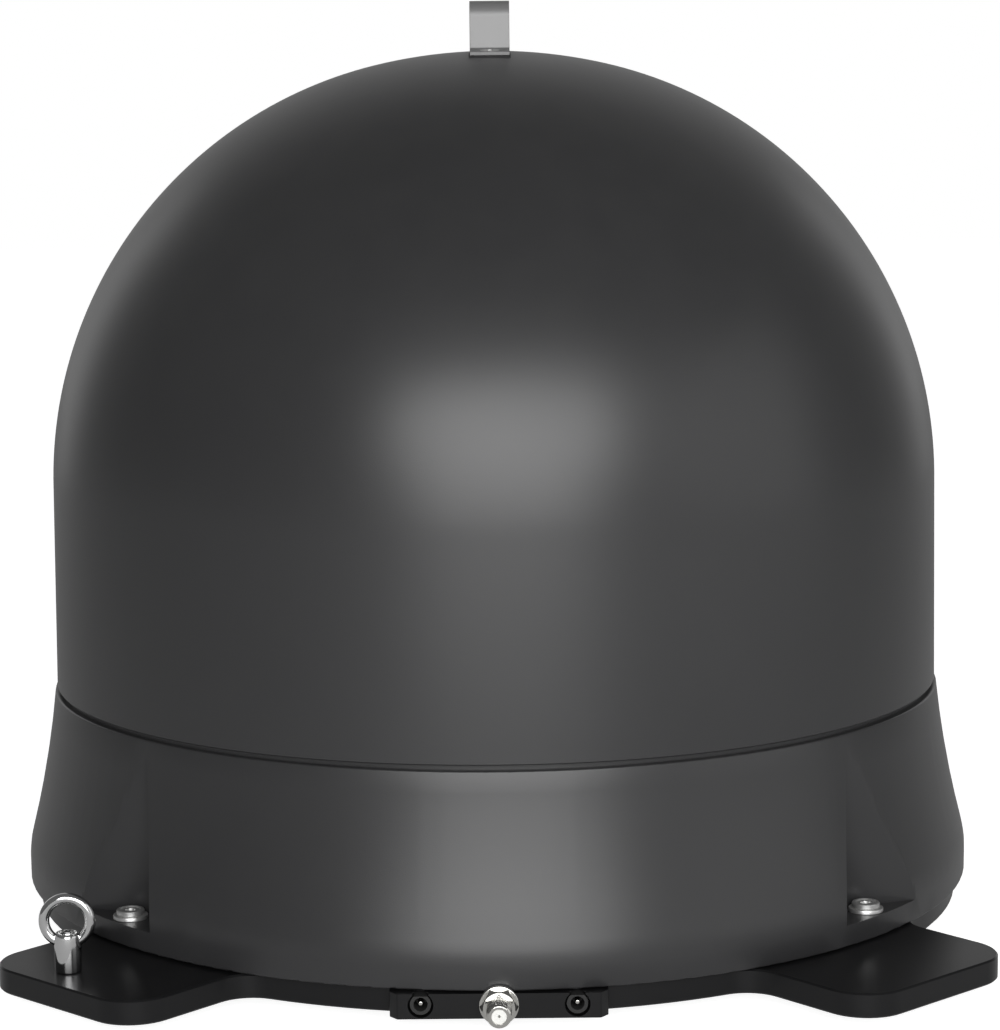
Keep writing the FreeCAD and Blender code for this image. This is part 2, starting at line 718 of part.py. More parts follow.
def coax_washer():
    start = V(0, PAD_FACE_Y, COAX_Z)
    end = V(0, PAD_FACE_Y - 1.3, COAX_Z)
    disc = rod(7.8, start, end)
    front = [e for e in disc.Edges if abs(e.CenterOfMass.y - end.y) < 0.01 and e.Closed]
    disc = disc.makeFillet(0.5, front)
    return disc.cut(rod(THREAD_R, V(0, PAD_FACE_Y + 1.0, COAX_Z), V(0, PAD_FACE_Y - 5.0, COAX_Z)))


def coax_nut():
    start = V(0, PAD_FACE_Y - 1.3, COAX_Z)
    end = V(0, PAD_FACE_Y - 5.0, COAX_Z)
    nut = hexagon(13.0, start, end)
    cone = Part.makeCone(8.6, 6.2, 3.7, start, V(0, -1, 0))
    return nut.common(cone).cut(rod(THREAD_R, V(0, PAD_FACE_Y, COAX_Z), V(0, PAD_FACE_Y - 9.0, COAX_Z)))


def power_socket(side):
    """Round low-voltage socket with a flat on its top, set in its recess."""
    x = side * POWER_X
    face = PAD_FACE_Y + 1.2
    barrel = rod(4.1, V(x, face, COAX_Z), V(x, PAD_FACE_Y + 9.0, COAX_Z))
    barrel = barrel.cut(block(x - 6.0, x + 6.0, face - 1.0, PAD_FACE_Y + 10.0, COAX_Z + 3.2, COAX_Z + 6.0))
    tail = rod(3.5, V(x, PAD_FACE_Y + 9.0, COAX_Z), V(x, BAY_Y[0] + 5.0, COAX_Z))
    body = barrel.fuse(tail)
    return body.cut(rod(2.75, V(x, face - 1.0, COAX_Z), V(x, face + 10.0, COAX_Z)))


def power_pins():
    pins = []
    for side in (-1, 1):
        x = side * POWER_X
        pin = rod(1.05, V(x, PAD_FACE_Y + 2.4, COAX_Z), V(x, PAD_FACE_Y + 11.2, COAX_Z))
        tip = [e for e in pin.Edges if e.Closed and e.CenterOfMass.y < PAD_FACE_Y + 2.5]
        pins.append(pin.makeFillet(0.6, tip))
    return group(pins)


# ---------------------------------------------------------------- azimuth drive
def azimuth_spindle():
    flange = rod(31.0, V(0, 0, PLATE_TOP), V(0, 0, PLATE_TOP + 4.0))
    step = rod(18.0, V(0, 0, PLATE_TOP), V(0, 0, BEARING_Z))
    post = rod(SPINDLE_R, V(0, 0, PLATE_TOP), V(0, 0, 42.0))
    body = flange.fuse([step, post])
    holes = [rod(8.0, V(0, 0, 0), V(0, 0, 60))]
    for x, y in spindle_screw_places():
        holes.append(rod(2.1, V(x, y, 0), V(x, y, 60)))
    return body.cut(holes)


def base_screws():
    screws = []
    for x, y in spindle_screw_places():
        screws.append(bolt(V(x, y, PLATE_TOP + 4.0), V(0, 0, -1), 2.0, 11.5, 3.4, 2.2, 2.5))
    for x, y in gear_screw_places():
        screws.append(bolt(V(x, y, PLATE_TOP + 5.0), V(0, 0, -1), 2.0, 12.5, 3.4, 2.2, 2.5))
    for x, y in board_screw_places():
        screws.append(bolt(V(x, y, BOARD_Z + BOARD_T), V(0, 0, -1), 1.5, 12.5, 2.8, 1.7, 2.0))
    return group(screws)


def bearing_race(inner, outer):
    body = ring(outer, inner, BEARING_Z, BEARING_Z + BEARING_H)
    groove = Part.makeTorus(BALL_PITCH_R, BALL_R + 0.08, V(0, 0, BEARING_Z + BEARING_H / 2.0))
    return body.cut(groove)


def bearing_balls():
    middle = BEARING_Z + BEARING_H / 2.0
    balls = []
    for x, y in circle_places(BALL_COUNT, BALL_PITCH_R, 15.0):
        balls.append(Part.makeSphere(BALL_R, V(x, y, middle)))
    return group(balls)


def azimuth_gear():
    face = gear_face(AZ_RING_TEETH, AZ_MODULE, 0.12, AZ_PINION_DIR)
    wheel = face.extrude(V(0, 0, 9.0))
    wheel.translate(V(0, 0, PLATE_TOP))
    cuts = [rod(57.0, V(0, 0, 0), V(0, 0, 60))]
    cuts.append(ring(67.0, 50.0, PLATE_TOP + 5.0, PLATE_TOP + 20.0))
    for x, y in gear_screw_places():
        cuts.append(rod(2.1, V(x, y, 0), V(x, y, 60)))
    return wheel.cut(cuts)


AZ_CENTRES = (AZ_RING_TEETH + AZ_PINION_TEETH) * AZ_MODULE / 2.0
AZ_X = AZ_CENTRES * math.cos(math.radians(AZ_PINION_DIR))
AZ_Y = AZ_CENTRES * math.sin(math.radians(AZ_PINION_DIR))


def azimuth_pinion():
    phase = AZ_PINION_DIR + 180.0 + 180.0 / AZ_PINION_TEETH
    face = gear_face(AZ_PINION_TEETH, AZ_MODULE, 0.12, phase)
    wheel = face.extrude(V(0, 0, 8.0))
    wheel.translate(V(AZ_X, AZ_Y, PLATE_TOP + 0.8))
    hub = rod(7.0, V(AZ_X, AZ_Y, PLATE_TOP + 5.0), V(AZ_X, AZ_Y, TABLE_Z - 3.0))
    return wheel.fuse(hub).cut(rod(2.5, V(AZ_X, AZ_Y, 0), V(AZ_X, AZ_Y, 60)))


def azimuth_shaft():
    return rod(2.5, V(AZ_X, AZ_Y, PLATE_TOP + 1.5), V(AZ_X, AZ_Y, TABLE_TOP + 11.5))


def gearmotor(length):
    """Gearbox and motor can standing on the XY plane, shaft bore at the origin."""
    box = rod(18.0, V(0, 0, 0), V(0, 0, 20.0))
    can = rod(15.5, V(0, 0, 20.0), V(0, 0, length))
    upper = [e for e in can.Edges if abs(e.CenterOfMass.z - length) < 0.01 and e.Closed]
    can = can.makeFillet(2.0, upper)
    cap = rod(6.0, V(0, 0, length), V(0, 0, length + 3.0))
    body = box.fuse([can, cap])
    body = body.cut(rod(2.56, V(0, 0, -1.0), V(0, 0, 12.0)))
    for x, y in circle_places(3, 13.0, 30.0):
        body = body.cut(rod(1.5, V(x, y, -1.0), V(x, y, 7.0)))
    return body


def azimuth_motor():
    motor = gearmotor(42.0)
    motor.translate(V(AZ_X, AZ_Y, TABLE_TOP))
    return motor


# ---------------------------------------------------------------- turntable
HUB_SCREWS = circle_places(6, 41.0, 30.0)
FOOT_HOLES = [(sx * 33.0, y) for sx in (-1, 1) for y in (38.0, 70.0)]
TUNER_X = 44.0
TUNER_Y = (-104.0, -52.0)
TUNER_TOP = TABLE_TOP + 12.0
TUNER_HOLES = [(sx * (TUNER_X + 4.5), y) for sx in (-1, 1) for y in (-96.0, -60.0)]


def turntable_hub():
    outer = rod(34.0, V(0, 0, BEARING_Z - 0.5), V(0, 0, TABLE_Z))
    flange = rod(48.0, V(0, 0, TABLE_Z - 4.0), V(0, 0, TABLE_Z))
    body = outer.fuse(flange)
    cuts = [rod(27.0, V(0, 0, 0), V(0, 0, BEARING_Z + BEARING_H))]
    cuts.append(rod(23.5, V(0, 0, 0), V(0, 0, 60)))
    for x, y in HUB_SCREWS:
        cuts.append(rod(2.0, V(x, y, 0), V(x, y, 60)))
    return body.cut(cuts)


def turntable_plate():
    disc = rod(TABLE_R, V(0, 0, TABLE_Z), V(0, 0, TABLE_TOP))
    cuts = [rod(23.5, V(0, 0, 0), V(0, 0, 60)), rod(7.6, V(AZ_X, AZ_Y, 0), V(AZ_X, AZ_Y, 60))]
    for x, y in HUB_SCREWS + FOOT_HOLES:
        cuts.append(rod(2.1, V(x, y, 0), V(x, y, 60)))
    for x, y in TUNER_HOLES:
        cuts.append(rod(1.6, V(x, y, 0), V(x, y, 60)))
    for x, y in circle_places(3, 13.0, 30.0):
        cuts.append(rod(1.6, V(AZ_X + x, AZ_Y + y, 0), V(AZ_X + x, AZ_Y + y, 60)))
    for azimuth in (90.0, 180.0, 270.0):
        p = polar(85.0, azimuth + 20.0)
        cuts.append(rod(13.0, V(p.x, p.y, 0), V(p.x, p.y, 60)))
    return disc.cut(cuts)


EL_CENTRES = (SECTOR_TEETH + EL_PINION_TEETH) * EL_MODULE / 2.0
EL_Y = AXIS_Y + EL_CENTRES * math.cos(math.radians(EL_PINION_DIR))
EL_Z = AXIS_Z + EL_CENTRES * math.sin(math.radians(EL_PINION_DIR))
MOTOR_HOLES = circle_places(3, 13.0, 30.0)


def yoke_arm(side, with_motor):
    """Upright bent plate: a foot turned inwards and an eye for the pivot pin."""
    inner = side * ARM_X
    step = side * ARM_T
    corners = [(25.0, TABLE_TOP), (79.0, TABLE_TOP)]
    radii = [0.0, 0.0]
    if with_motor:
        corners += [(79.0, 98.0), (EL_Y + 21.0, EL_Z - 26.0), (EL_Y + 21.0, EL_Z + 21.0)]
        corners += [(EL_Y - 14.0, EL_Z + 21.0), (AXIS_Y + 15.0, AXIS_Z + 15.0)]
        radii += [14.0, 14.0, 16.0, 12.0, 14.9]
    else:
        corners += [(AXIS_Y + 15.0, AXIS_Z - 40.0), (AXIS_Y + 15.0, AXIS_Z + 15.0)]
        radii += [20.0, 14.9]
    corners += [(AXIS_Y - 15.0, AXIS_Z + 15.0), (AXIS_Y - 15.0, AXIS_Z - 40.0)]
    radii += [14.9, 20.0]
    face = rounded_face(corners, radii, lambda a, b: V(inner, a, b))
    arm = face.extrude(V(step, 0, 0))
    low, high = sorted((inner + step, inner - side * 20.0))
    foot = block(low, high, 25.0, 79.0, TABLE_TOP, TABLE_TOP + ARM_T)
    arm = arm.fuse(foot)
    reach = V(side * 20.0, 0, 0)
    pivot = V(inner - side * 5.0, AXIS_Y, AXIS_Z)
    cuts = [rod(5.0, pivot, pivot + reach)]
    window = [(36.0, 62.0), (68.0, 62.0), (60.0, 135.0), (41.0, 135.0)]
    hole = rounded_face(window, [6.0] * 4, lambda a, b: V(inner - side * 5.0, a, b))
    cuts.append(hole.extrude(V(side * 12.0, 0, 0)))
    if with_motor:
        shaft = V(inner - side * 5.0, EL_Y, EL_Z)
        cuts.append(rod(6.0, shaft, shaft + reach))
        for y, z in MOTOR_HOLES:
            cuts.append(rod(1.6, shaft + V(0, y, z), shaft + reach + V(0, y, z)))
    for sx, y in ((side * 33.0, 38.0), (side * 33.0, 70.0)):
        cuts.append(rod(2.1, V(sx, y, 0), V(sx, y, 60)))
    return arm.cut(cuts).removeSplitter()


def elevation_motor():
    motor = gearmotor(44.0)
    motor.rotate(V(0, 0, 0), V(0, 1, 0), 90)
    motor.rotate(V(0, 0, 0), V(1, 0, 0), 90)
    motor.translate(V(ARM_X + ARM_T, EL_Y, EL_Z))
    return motor


def pivot_pins():
    pins = []
    for side in (-1, 1):
        start = V(side * 34.0, AXIS_Y, AXIS_Z)
        end = V(side * (ARM_X + ARM_T), AXIS_Y, AXIS_Z)
        head = V(side * (ARM_X + ARM_T + 2.5), AXIS_Y, AXIS_Z)
        pin = rod(5.0, start, end).fuse(rod(7.5, end, head))
        pins.append(pin.cut(rod(2.7, start - V(side, 0, 0), head + V(side, 0, 0))))
    return group(pins)


def turntable_screws():
    screws = []
    for x, y in HUB_SCREWS:
        screws.append(bolt(V(x, y, TABLE_TOP), V(0, 0, -1), 2.0, 6.5, 3.4, 2.2, 2.5))
    for x, y in FOOT_HOLES:
        screws.append(bolt(V(x, y, TABLE_TOP + ARM_T), V(0, 0, -1), 2.0, 8.0, 3.4, 2.2, 2.5))
    for x, y in TUNER_HOLES:
        screws.append(bolt(V(x, y, TABLE_TOP + 2.0), V(0, 0, -1), 1.5, 6.0, 2.6, 1.6, 2.0))
    for x, y in circle_places(3, 13.0, 30.0):
        place = V(AZ_X + x, AZ_Y + y, TABLE_Z)
        screws.append(bolt(place, V(0, 0, 1), 1.5, 8.0, 2.6, 1.6, 2.0))
    for y, z in elevation_motor_holes():
        screws.append(bolt(V(ARM_X, y, z), V(1, 0, 0), 1.5, 8.0, 2.6, 1.6, 2.0))
    return group(screws)


def elevation_motor_holes():
    return [(EL_Y + y, EL_Z + z) for y, z in MOTOR_HOLES]


def tuner_case():
    """Folded screening can with two fixing ears on each side."""
    outer = block(-TUNER_X, TUNER_X, TUNER_Y[0], TUNER_Y[1], TABLE_TOP, TUNER_TOP)
    inner = block(-TUNER_X + 1, TUNER_X - 1, TUNER_Y[0] + 1, TUNER_Y[1] - 1, TABLE_TOP + 1, TUNER_TOP + 1)
    body = outer.cut(inner)
    for x, y in TUNER_HOLES:
        side = 1 if x > 0 else -1
        low, high = sorted((side * TUNER_X, side * (TUNER_X + 9.0)))
        ear = block(low, high, y - 5.0, y + 5.0, TABLE_TOP, TABLE_TOP + 2.0)
        body = body.fuse(ear).cut(rod(1.6, V(x, y, 0), V(x, y, 60)))
    return body


def tuner_lid():
    return block(-TUNER_X, TUNER_X, TUNER_Y[0], TUNER_Y[1], TUNER_TOP, TUNER_TOP + 1.2)


def rotary_stator():
    body = rod(7.6, V(0, 0, PAD_H + 3.0), V(0, 0, 45.0))
    collar = rod(11.0, V(0, 0, 42.0), V(0, 0, 45.0))
    return body.fuse(collar).cut(rod(1.56, V(0, 0, 38.0), V(0, 0, 50.0)))


def rotary_rotor():
    """Turning half of the coax joint, held to the turntable by a tab on each side."""
    cap = rod(10.0, V(0, 0, 45.3), V(0, 0, 54.0))
    pin = rod(1.5, V(0, 0, 39.0), V(0, 0, 46.0))
    bridge = block(-30.0, 30.0, -4.0, 4.0, 48.0, 50.0)
    left = block(-30.0, -28.0, -4.0, 4.0, TABLE_TOP, 50.0)
    right = block(28.0, 30.0, -4.0, 4.0, TABLE_TOP, 50.0)
    return fuse([cap, pin, bridge, left, right])


LEAD_R = 2.4


def coax_lead():
    """From the back of the coax socket, through the plate's channel, to the rotary joint."""
    z = PAD_H + 5.0
    points = [V(0, BAY_Y[0] + 6.2, COAX_Z), V(0, -175.0, COAX_Z), V(0, -155.0, z), V(0, -7.8, z)]
    return lead(points, LEAD_R, 12.0)


def power_leads():
    """From each power socket, up beside the bay, to the board."""
    wires = []
    for side in (-1, 1):
        x = side * POWER_X
        end_z = BOARD_Z + BOARD_T + 2.0
        points = [V(x, BAY_Y[0] + 5.2, COAX_Z), V(x, -177.0, COAX_Z), V(x, -166.0, end_z), V(x, -155.0, end_z)]
        wires.append(lead(points, 1.6, 6.0))
    return group(wires)


def power_board():
    board = block(-BOARD_X, BOARD_X, BOARD_Y[0], BOARD_Y[1], BOARD_Z, BOARD_Z + BOARD_T)
    posts = []
    for x, y in board_screw_places():
        bore = rod(1.55, V(x, y, 0), V(x, y, 60))
        posts.append(rod(3.2, V(x, y, PLATE_TOP), V(x, y, BOARD_Z)).cut(bore))
        board = board.cut(bore)
    return board.fuse(posts)


def board_parts():
    """Terminal blocks, chips, coil and capacitors standing on the board."""
    top = BOARD_Z + BOARD_T
    parts = []
    for side in (-1, 1):
        x = side * POWER_X
        parts.append(block(x - 5.4, x + 5.4, -154.8, -146.0, top, top + 8.0))
    parts.append(block(-9.0, 9.0, -146.0, -130.0, top, top + 1.8))
    parts.append(block(-24.0, -14.0, -140.0, -130.0, top, top + 1.5))
    parts.append(ring(8.0, 4.0, top, top + 6.0).translated(V(24.0, -128.0, 0)))
    for x in (-31.0, -21.0):
        parts.append(rod(4.0, V(x, -121.0, top), V(x, -121.0, top + 11.0)))
    parts.append(block(4.0, 12.0, -124.0, -116.0, top, top + 3.0))
    return group(parts)


def riser_lead():
    """From the rotary joint, along the turntable and up the left arm, into the hollow pivot."""
    x = -(ARM_X + ARM_T + 6.5)
    points = [V(0, 10.4, 51.0), V(0, 26.0, 51.0), V(-15.0, 50.0, 49.0)]
    points += [V(-38.0, 88.0, 49.0), V(x, 88.0, 60.0), V(x, 78.0, 100.0), V(x, AXIS_Y, AXIS_Z - 12.0)]
    points += [V(x, AXIS_Y, AXIS_Z), V(-35.0, AXIS_Y, AXIS_Z)]
    return lead(points, LEAD_R, 5.5)


# ---------------------------------------------------------------- reflector and feed
def aim(shape):
    """Turn from the boresight frame to the rest elevation and move to the axis."""
    turned = shape.copy()
    turned.rotate(V(0, 0, 0), V(1, 0, 0), -REST_ELEVATION)
    turned.translate(V(0, AXIS_Y, AXIS_Z))
    return turned


def dish_depth(r):
    return VERTEX + r * r / (4.0 * FOCAL)


def reflector():
    """Paraboloid sheet cut to an oval, with a notch for the feed arm."""
    rim = DISH_A + 12.0
    curves = []
    for back in (0.0, DISH_T):
        points = []
        for i in range(9):
            r = rim * i / 8.0
            points.append(V(0, -(dish_depth(r) - back), r))
        curve = Part.BSplineCurve()
        curve.interpolate(points)
        curves.append((curve.toShape(), points))
    front, rear = curves
    edges = [front[0], rear[0]]
    edges.append(Part.makeLine(front[1][0], rear[1][0]))
    edges.append(Part.makeLine(front[1][-1], rear[1][-1]))
    face = Part.Face(Part.Wire(Part.__sortEdges__(edges)))
    sheet = face.revolve(V(0, 0, 0), V(0, 1, 0), 360)
    oval = Part.Ellipse(V(0, 0, 0), DISH_A, DISH_B).toShape()
    outline = Part.Face(Part.Wire([oval])).extrude(V(0, 0, 200.0))
    outline.rotate(V(0, 0, 0), V(1, 0, 0), 90)
    sheet = sheet.common(outline)
    notch = block(-10.0, 10.0, -200.0, 0.0, -DISH_B - 5.0, -DISH_B + 12.0)
    sheet = sheet.cut(notch)
    for x, z in BRACKET_HOLES:
        sheet = sheet.cut(rod(2.1, V(x, 0, z), V(x, -60.0, z)))
    return sheet


BRACKET_HOLES = [(sx * 28.0, sz * 18.0) for sx in (-1, 1) for sz in (-1, 1)]
LUG_X = (37.0, 42.0)
PLATE_S = (13.0, 16.0)


def back_bracket():
    """Bent bracket behind the reflector: a plate, two lugs round the axis, four pads."""
    plate = block(-LUG_X[1], LUG_X[1], -PLATE_S[1], -PLATE_S[0], -26.0, 26.0)
    pieces = [plate]
    for side in (-1, 1):
        low, high = sorted((side * LUG_X[0], side * LUG_X[1]))
        outline = [(-PLATE_S[1], -26.0), (-PLATE_S[1], 26.0), (0.0, 12.5), (12.5, 0.0), (0.0, -12.5)]
        lug = rounded_face(outline, [0, 0, 3.0, 7.0, 3.0], lambda a, b: V(low, a, b))
        pieces.append(lug.extrude(V(high - low, 0, 0)))
    spread = math.hypot(28.0, 18.0)
    for x, z in BRACKET_HOLES:
        seat = -(dish_depth(spread - 5.0) - DISH_T) + 0.2
        pieces.append(rod(5.0, V(x, -PLATE_S[0], z), V(x, seat, z)))
    body = fuse(pieces)
    for x, z in BRACKET_HOLES:
        body = body.cut(rod(2.1, V(x, 5.0, z), V(x, -60.0, z)))
    for side in (-1, 1):
        body = body.cut(rod(7.0, V(side * 30.0, 0, 0), V(side * 50.0, 0, 0)))
    for y, z in SECTOR_HOLES:
        body = body.cut(rod(1.6, V(20.0, y, z), V(60.0, y, z)))
    for z in ARM_HOLES:
        body = body.cut(rod(2.1, V(0, 5.0, z), V(0, -40.0, z)))
    return body


SECTOR_HOLES = [(-9.5, 11.0), (-9.5, -11.0)]
ARM_HOLES = (-13.0, -21.0)


def pivot_bushes():
    bushes = []
    for side in (-1, 1):
        start = V(side * (LUG_X[0] - 1.5), 0, 0)
        mid = V(side * LUG_X[0], 0, 0)
        end = V(side * (LUG_X[1] + 1.0), 0, 0)
        sleeve = rod(7.0, mid, end).fuse(rod(9.0, start, mid))
        bushes.append(sleeve.cut(rod(5.06, start - V(side * 5, 0, 0), end + V(side * 5, 0, 0))))
    return group(bushes)


def elevation_sector():
    """Toothed quadrant round the elevation axis, screwed to the right lug."""
    contact = EL_PINION_DIR + REST_ELEVATION
    face = gear_face(SECTOR_TEETH, EL_MODULE, 0.12, contact)
    wheel = face.extrude(V(0, 0, 5.0))
    wheel.rotate(V(0, 0, 0), V(0, 1, 0), 90)
    wheel.rotate(V(0, 0, 0), V(1, 0, 0), 90)
    wheel.translate(V(30.0, 0, 0))
    low, high = math.radians(contact - 24.0), math.radians(contact + 41.0)
    far = 80.0
    wedge = [(0, 0), (far * math.cos(low), far * math.sin(low))]
    wedge.append((far * math.cos((low + high) / 2.0) * 1.3, far * math.sin((low + high) / 2.0) * 1.3))
    wedge.append((far * math.cos(high), far * math.sin(high)))
    slice_ = rounded_face(wedge, [0] * 4, lambda a, b: V(29.0, a, b)).extrude(V(8.0, 0, 0))
    slab = block(30.0, 35.0, -12.7, 14.0, -16.0, 16.0)
    body = wheel.common(slice_).fuse(slab)
    spacer = block(35.0, LUG_X[0], -12.7, -6.5, -16.0, 16.0)
    body = body.fuse(spacer).removeSplitter()
    cuts = [rod(9.6, V(20, 0, 0), V(60, 0, 0))]
    for y, z in SECTOR_HOLES:
        cuts.append(rod(1.6, V(20.0, y, z), V(60.0, y, z)))
    return body.cut(cuts)


def elevation_pinion():
    phase = EL_PINION_DIR + 180.0 + 180.0 / EL_PINION_TEETH
    face = gear_face(EL_PINION_TEETH, EL_MODULE, 0.12, phase)
    wheel = face.extrude(V(0, 0, 6.0))
    hub = rod(5.5, V(0, 0, 6.0), V(0, 0, 14.0))
    body = wheel.fuse(hub).cut(rod(2.5, V(0, 0, -1), V(0, 0, 20)))
    body.rotate(V(0, 0, 0), V(0, 1, 0), 90)
    body.rotate(V(0, 0, 0), V(1, 0, 0), 90)
    body.translate(V(29.5, EL_Y, EL_Z))
    return body


def elevation_shaft():
    return rod(2.5, V(29.8, EL_Y, EL_Z), V(ARM_X + ARM_T + 11.5, EL_Y, EL_Z))


ARM_PATH = [(-11.5, -11.0), (-11.5, -26.0), (-40.0, -126.5), (-57.0, -128.0), (-150.0, -35.0), (-150.0, -26.0)]


def feed_arm():
    """Bent strip from the bracket, through the notch in the rim, up to the clamp."""
    strip = ribbon(ARM_PATH, [6.0, 9.0, 9.0, 6.0], 3.0, 14.0)
    for z in ARM_HOLES:
        strip = strip.cut(rod(2.1, V(0, 5.0, z), V(0, -40.0, z)))
    return strip


CLAMP_S = (143.0, 157.0)
NECK_R = 20.0


def lnb_clamp():
    """Split ring round the converter's neck, with a block that sits on the arm."""
    band = rod(NECK_R + 3.5, V(0, -CLAMP_S[1], 0), V(0, -CLAMP_S[0], 0))
    foot = block(-9.0, 9.0, -CLAMP_S[1], -CLAMP_S[0], -26.0, -18.0)
    foot = foot.cut(block(-7.1, 7.1, -151.6, -148.4, -30.0, -22.5))
    ears = block(-6.0, 6.0, -CLAMP_S[1], -CLAMP_S[0], 18.0, 30.0)
    body = fuse([band, foot, ears])
    cuts = [rod(NECK_R + 0.06, V(0, -CLAMP_S[1] - 1, 0), V(0, -CLAMP_S[0] + 1, 0))]
    cuts.append(block(-1.0, 1.0, -CLAMP_S[1] - 1, -CLAMP_S[0] + 1, 15.0, 40.0))
    cuts.append(rod(1.6, V(-10.0, -150.0, 26.5), V(10.0, -150.0, 26.5)))
    return body.cut(cuts)


def lnb_body():
    """Converter: a round neck, a boxed rear end and a downward socket."""
    neck = rod(NECK_R, V(0, -165.0, 0), V(0, -142.0, 0))
    shape = [(-24.0, -22.0), (24.0, -22.0), (24.0, 22.0), (-24.0, 22.0)]
    box = rounded_face(shape, [9.0] * 4, lambda a, b: V(a, -165.0, b)).extrude(V(0, -26.0, 0))
    socket = rod(THREAD_R, V(0, -178.0, -22.0), V(0, -178.0, -33.0))
    return fuse([neck, box, socket])


def lnb_horn():
    """Feed horn with its flat cap, facing the reflector."""
    horn = Part.makeCone(20.0, 27.0, 12.0, V(0, -142.0, 0), V(0, 1, 0))
    lip = rod(27.0, V(0, -130.0, 0), V(0, -127.0, 0))
    return horn.fuse(lip).removeSplitter()


def lnb_lead():
    """From the pivot, behind the reflector and along the feed arm, to the converter."""
    points = [V(-32.0, 0, 0), V(-14.0, 0, 0), V(-14.0, -4.0, -30.0), V(-4.0, -26.0, -112.0)]
    points += [V(-2.5, -38.0, -134.5), V(0, -66.0, -133.0), V(0, -165.0, -48.0), V(0, -178.0, -44.0)]
    points += [V(0, -178.0, -34.0)]
    return lead(points, LEAD_R, 4.2)


def reflector_screws():
    """Reflector bolts, sector screws, arm screws and the clamp's screw."""
    screws = []
    spread = math.hypot(28.0, 18.0)
    for x, z in BRACKET_HOLES:
        under = V(x, -dish_depth(spread + 4.5) - 0.1, z)
        screws.append(bolt(under, V(0, 1, 0), 2.0, 14.0, 4.2, 2.0, 2.5))
    for y, z in SECTOR_HOLES:
        screws.append(bolt(V(30.0, y, z), V(1, 0, 0), 1.5, 11.0, 2.6, 1.6, 2.0))
    for z in ARM_HOLES:
        screws.append(bolt(V(0, -10.0, z), V(0, -1, 0), 2.0, 6.0, 3.2, 2.0, 2.5))
    screws.append(bolt(V(-6.0, -150.0, 26.5), V(1, 0, 0), 1.5, 13.5, 2.8, 1.8, 2.0))
    return group(screws)


# ---------------------------------------------------------------- write every piece
save("dome_shell", dome_shell())
save("skirt_ring", skirt_ring())
save("carry_handle", carry_handle())
save("handle_gaskets", handle_gaskets())
save("handle_screws", handle_screws())
save("handle_nuts", handle_nuts())
save("cover_screws", cover_screws())
save("cover_washers", cover_washers())

save("base_plate", base_plate())
save("rubber_feet", rubber_feet())
save("thread_inserts", thread_inserts())
save("seal_ring", seal_ring())
save("eye_bolt", eye_bolt())
save("eye_stud", eye_stud())
save("eye_locknut", eye_locknut())
save("coax_socket", coax_socket())
save("coax_insulator", coax_insulator())
save("coax_washer", coax_washer())
save("coax_nut", coax_nut())
save("power_socket_left", power_socket(-1))
save("power_socket_right", power_socket(1))
save("power_pins", power_pins())
save("azimuth_spindle", azimuth_spindle())
save("base_screws", base_screws())
save("bearing_inner_ring", bearing_race(SPINDLE_R, 19.2))
save("azimuth_gear", azimuth_gear())
save("rotary_stator", rotary_stator())
save("coax_lead", coax_lead())
save("power_leads", power_leads())
save("power_board", power_board())
save("board_parts", board_parts())

save("turntable_plate", turntable_plate())
save("turntable_hub", turntable_hub())
save("bearing_outer_ring", bearing_race(22.8, 27.0))
save("bearing_balls", bearing_balls())
save("yoke_left", yoke_arm(-1, False))
save("yoke_right", yoke_arm(1, True))
save("turntable_screws", turntable_screws())
save("azimuth_motor", azimuth_motor())
save("elevation_motor", elevation_motor())
save("pivot_pins", pivot_pins())
save("rotary_rotor", rotary_rotor())
save("tuner_case", tuner_case())
save("tuner_lid", tuner_lid())
save("riser_lead", riser_lead())

save("azimuth_pinion", azimuth_pinion())
save("azimuth_shaft", azimuth_shaft())
save("elevation_pinion", elevation_pinion())
save("elevation_shaft", elevation_shaft())

save("reflector", aim(reflector()))
save("back_bracket", aim(back_bracket()))
save("reflector_screws", aim(reflector_screws()))
save("pivot_bushes", aim(pivot_bushes()))
save("elevation_sector", aim(elevation_sector()))
save("feed_arm", aim(feed_arm()))
save("lnb_clamp", aim(lnb_clamp()))
save("lnb_body", aim(lnb_body()))
save("lnb_horn", aim(lnb_horn()))
save("lnb_lead", aim(lnb_lead()))
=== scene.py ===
import json
import math

import bmesh
import bpy
from bpy.props import FloatProperty, FloatVectorProperty, IntProperty, PointerProperty
from mathutils import Matrix, Vector


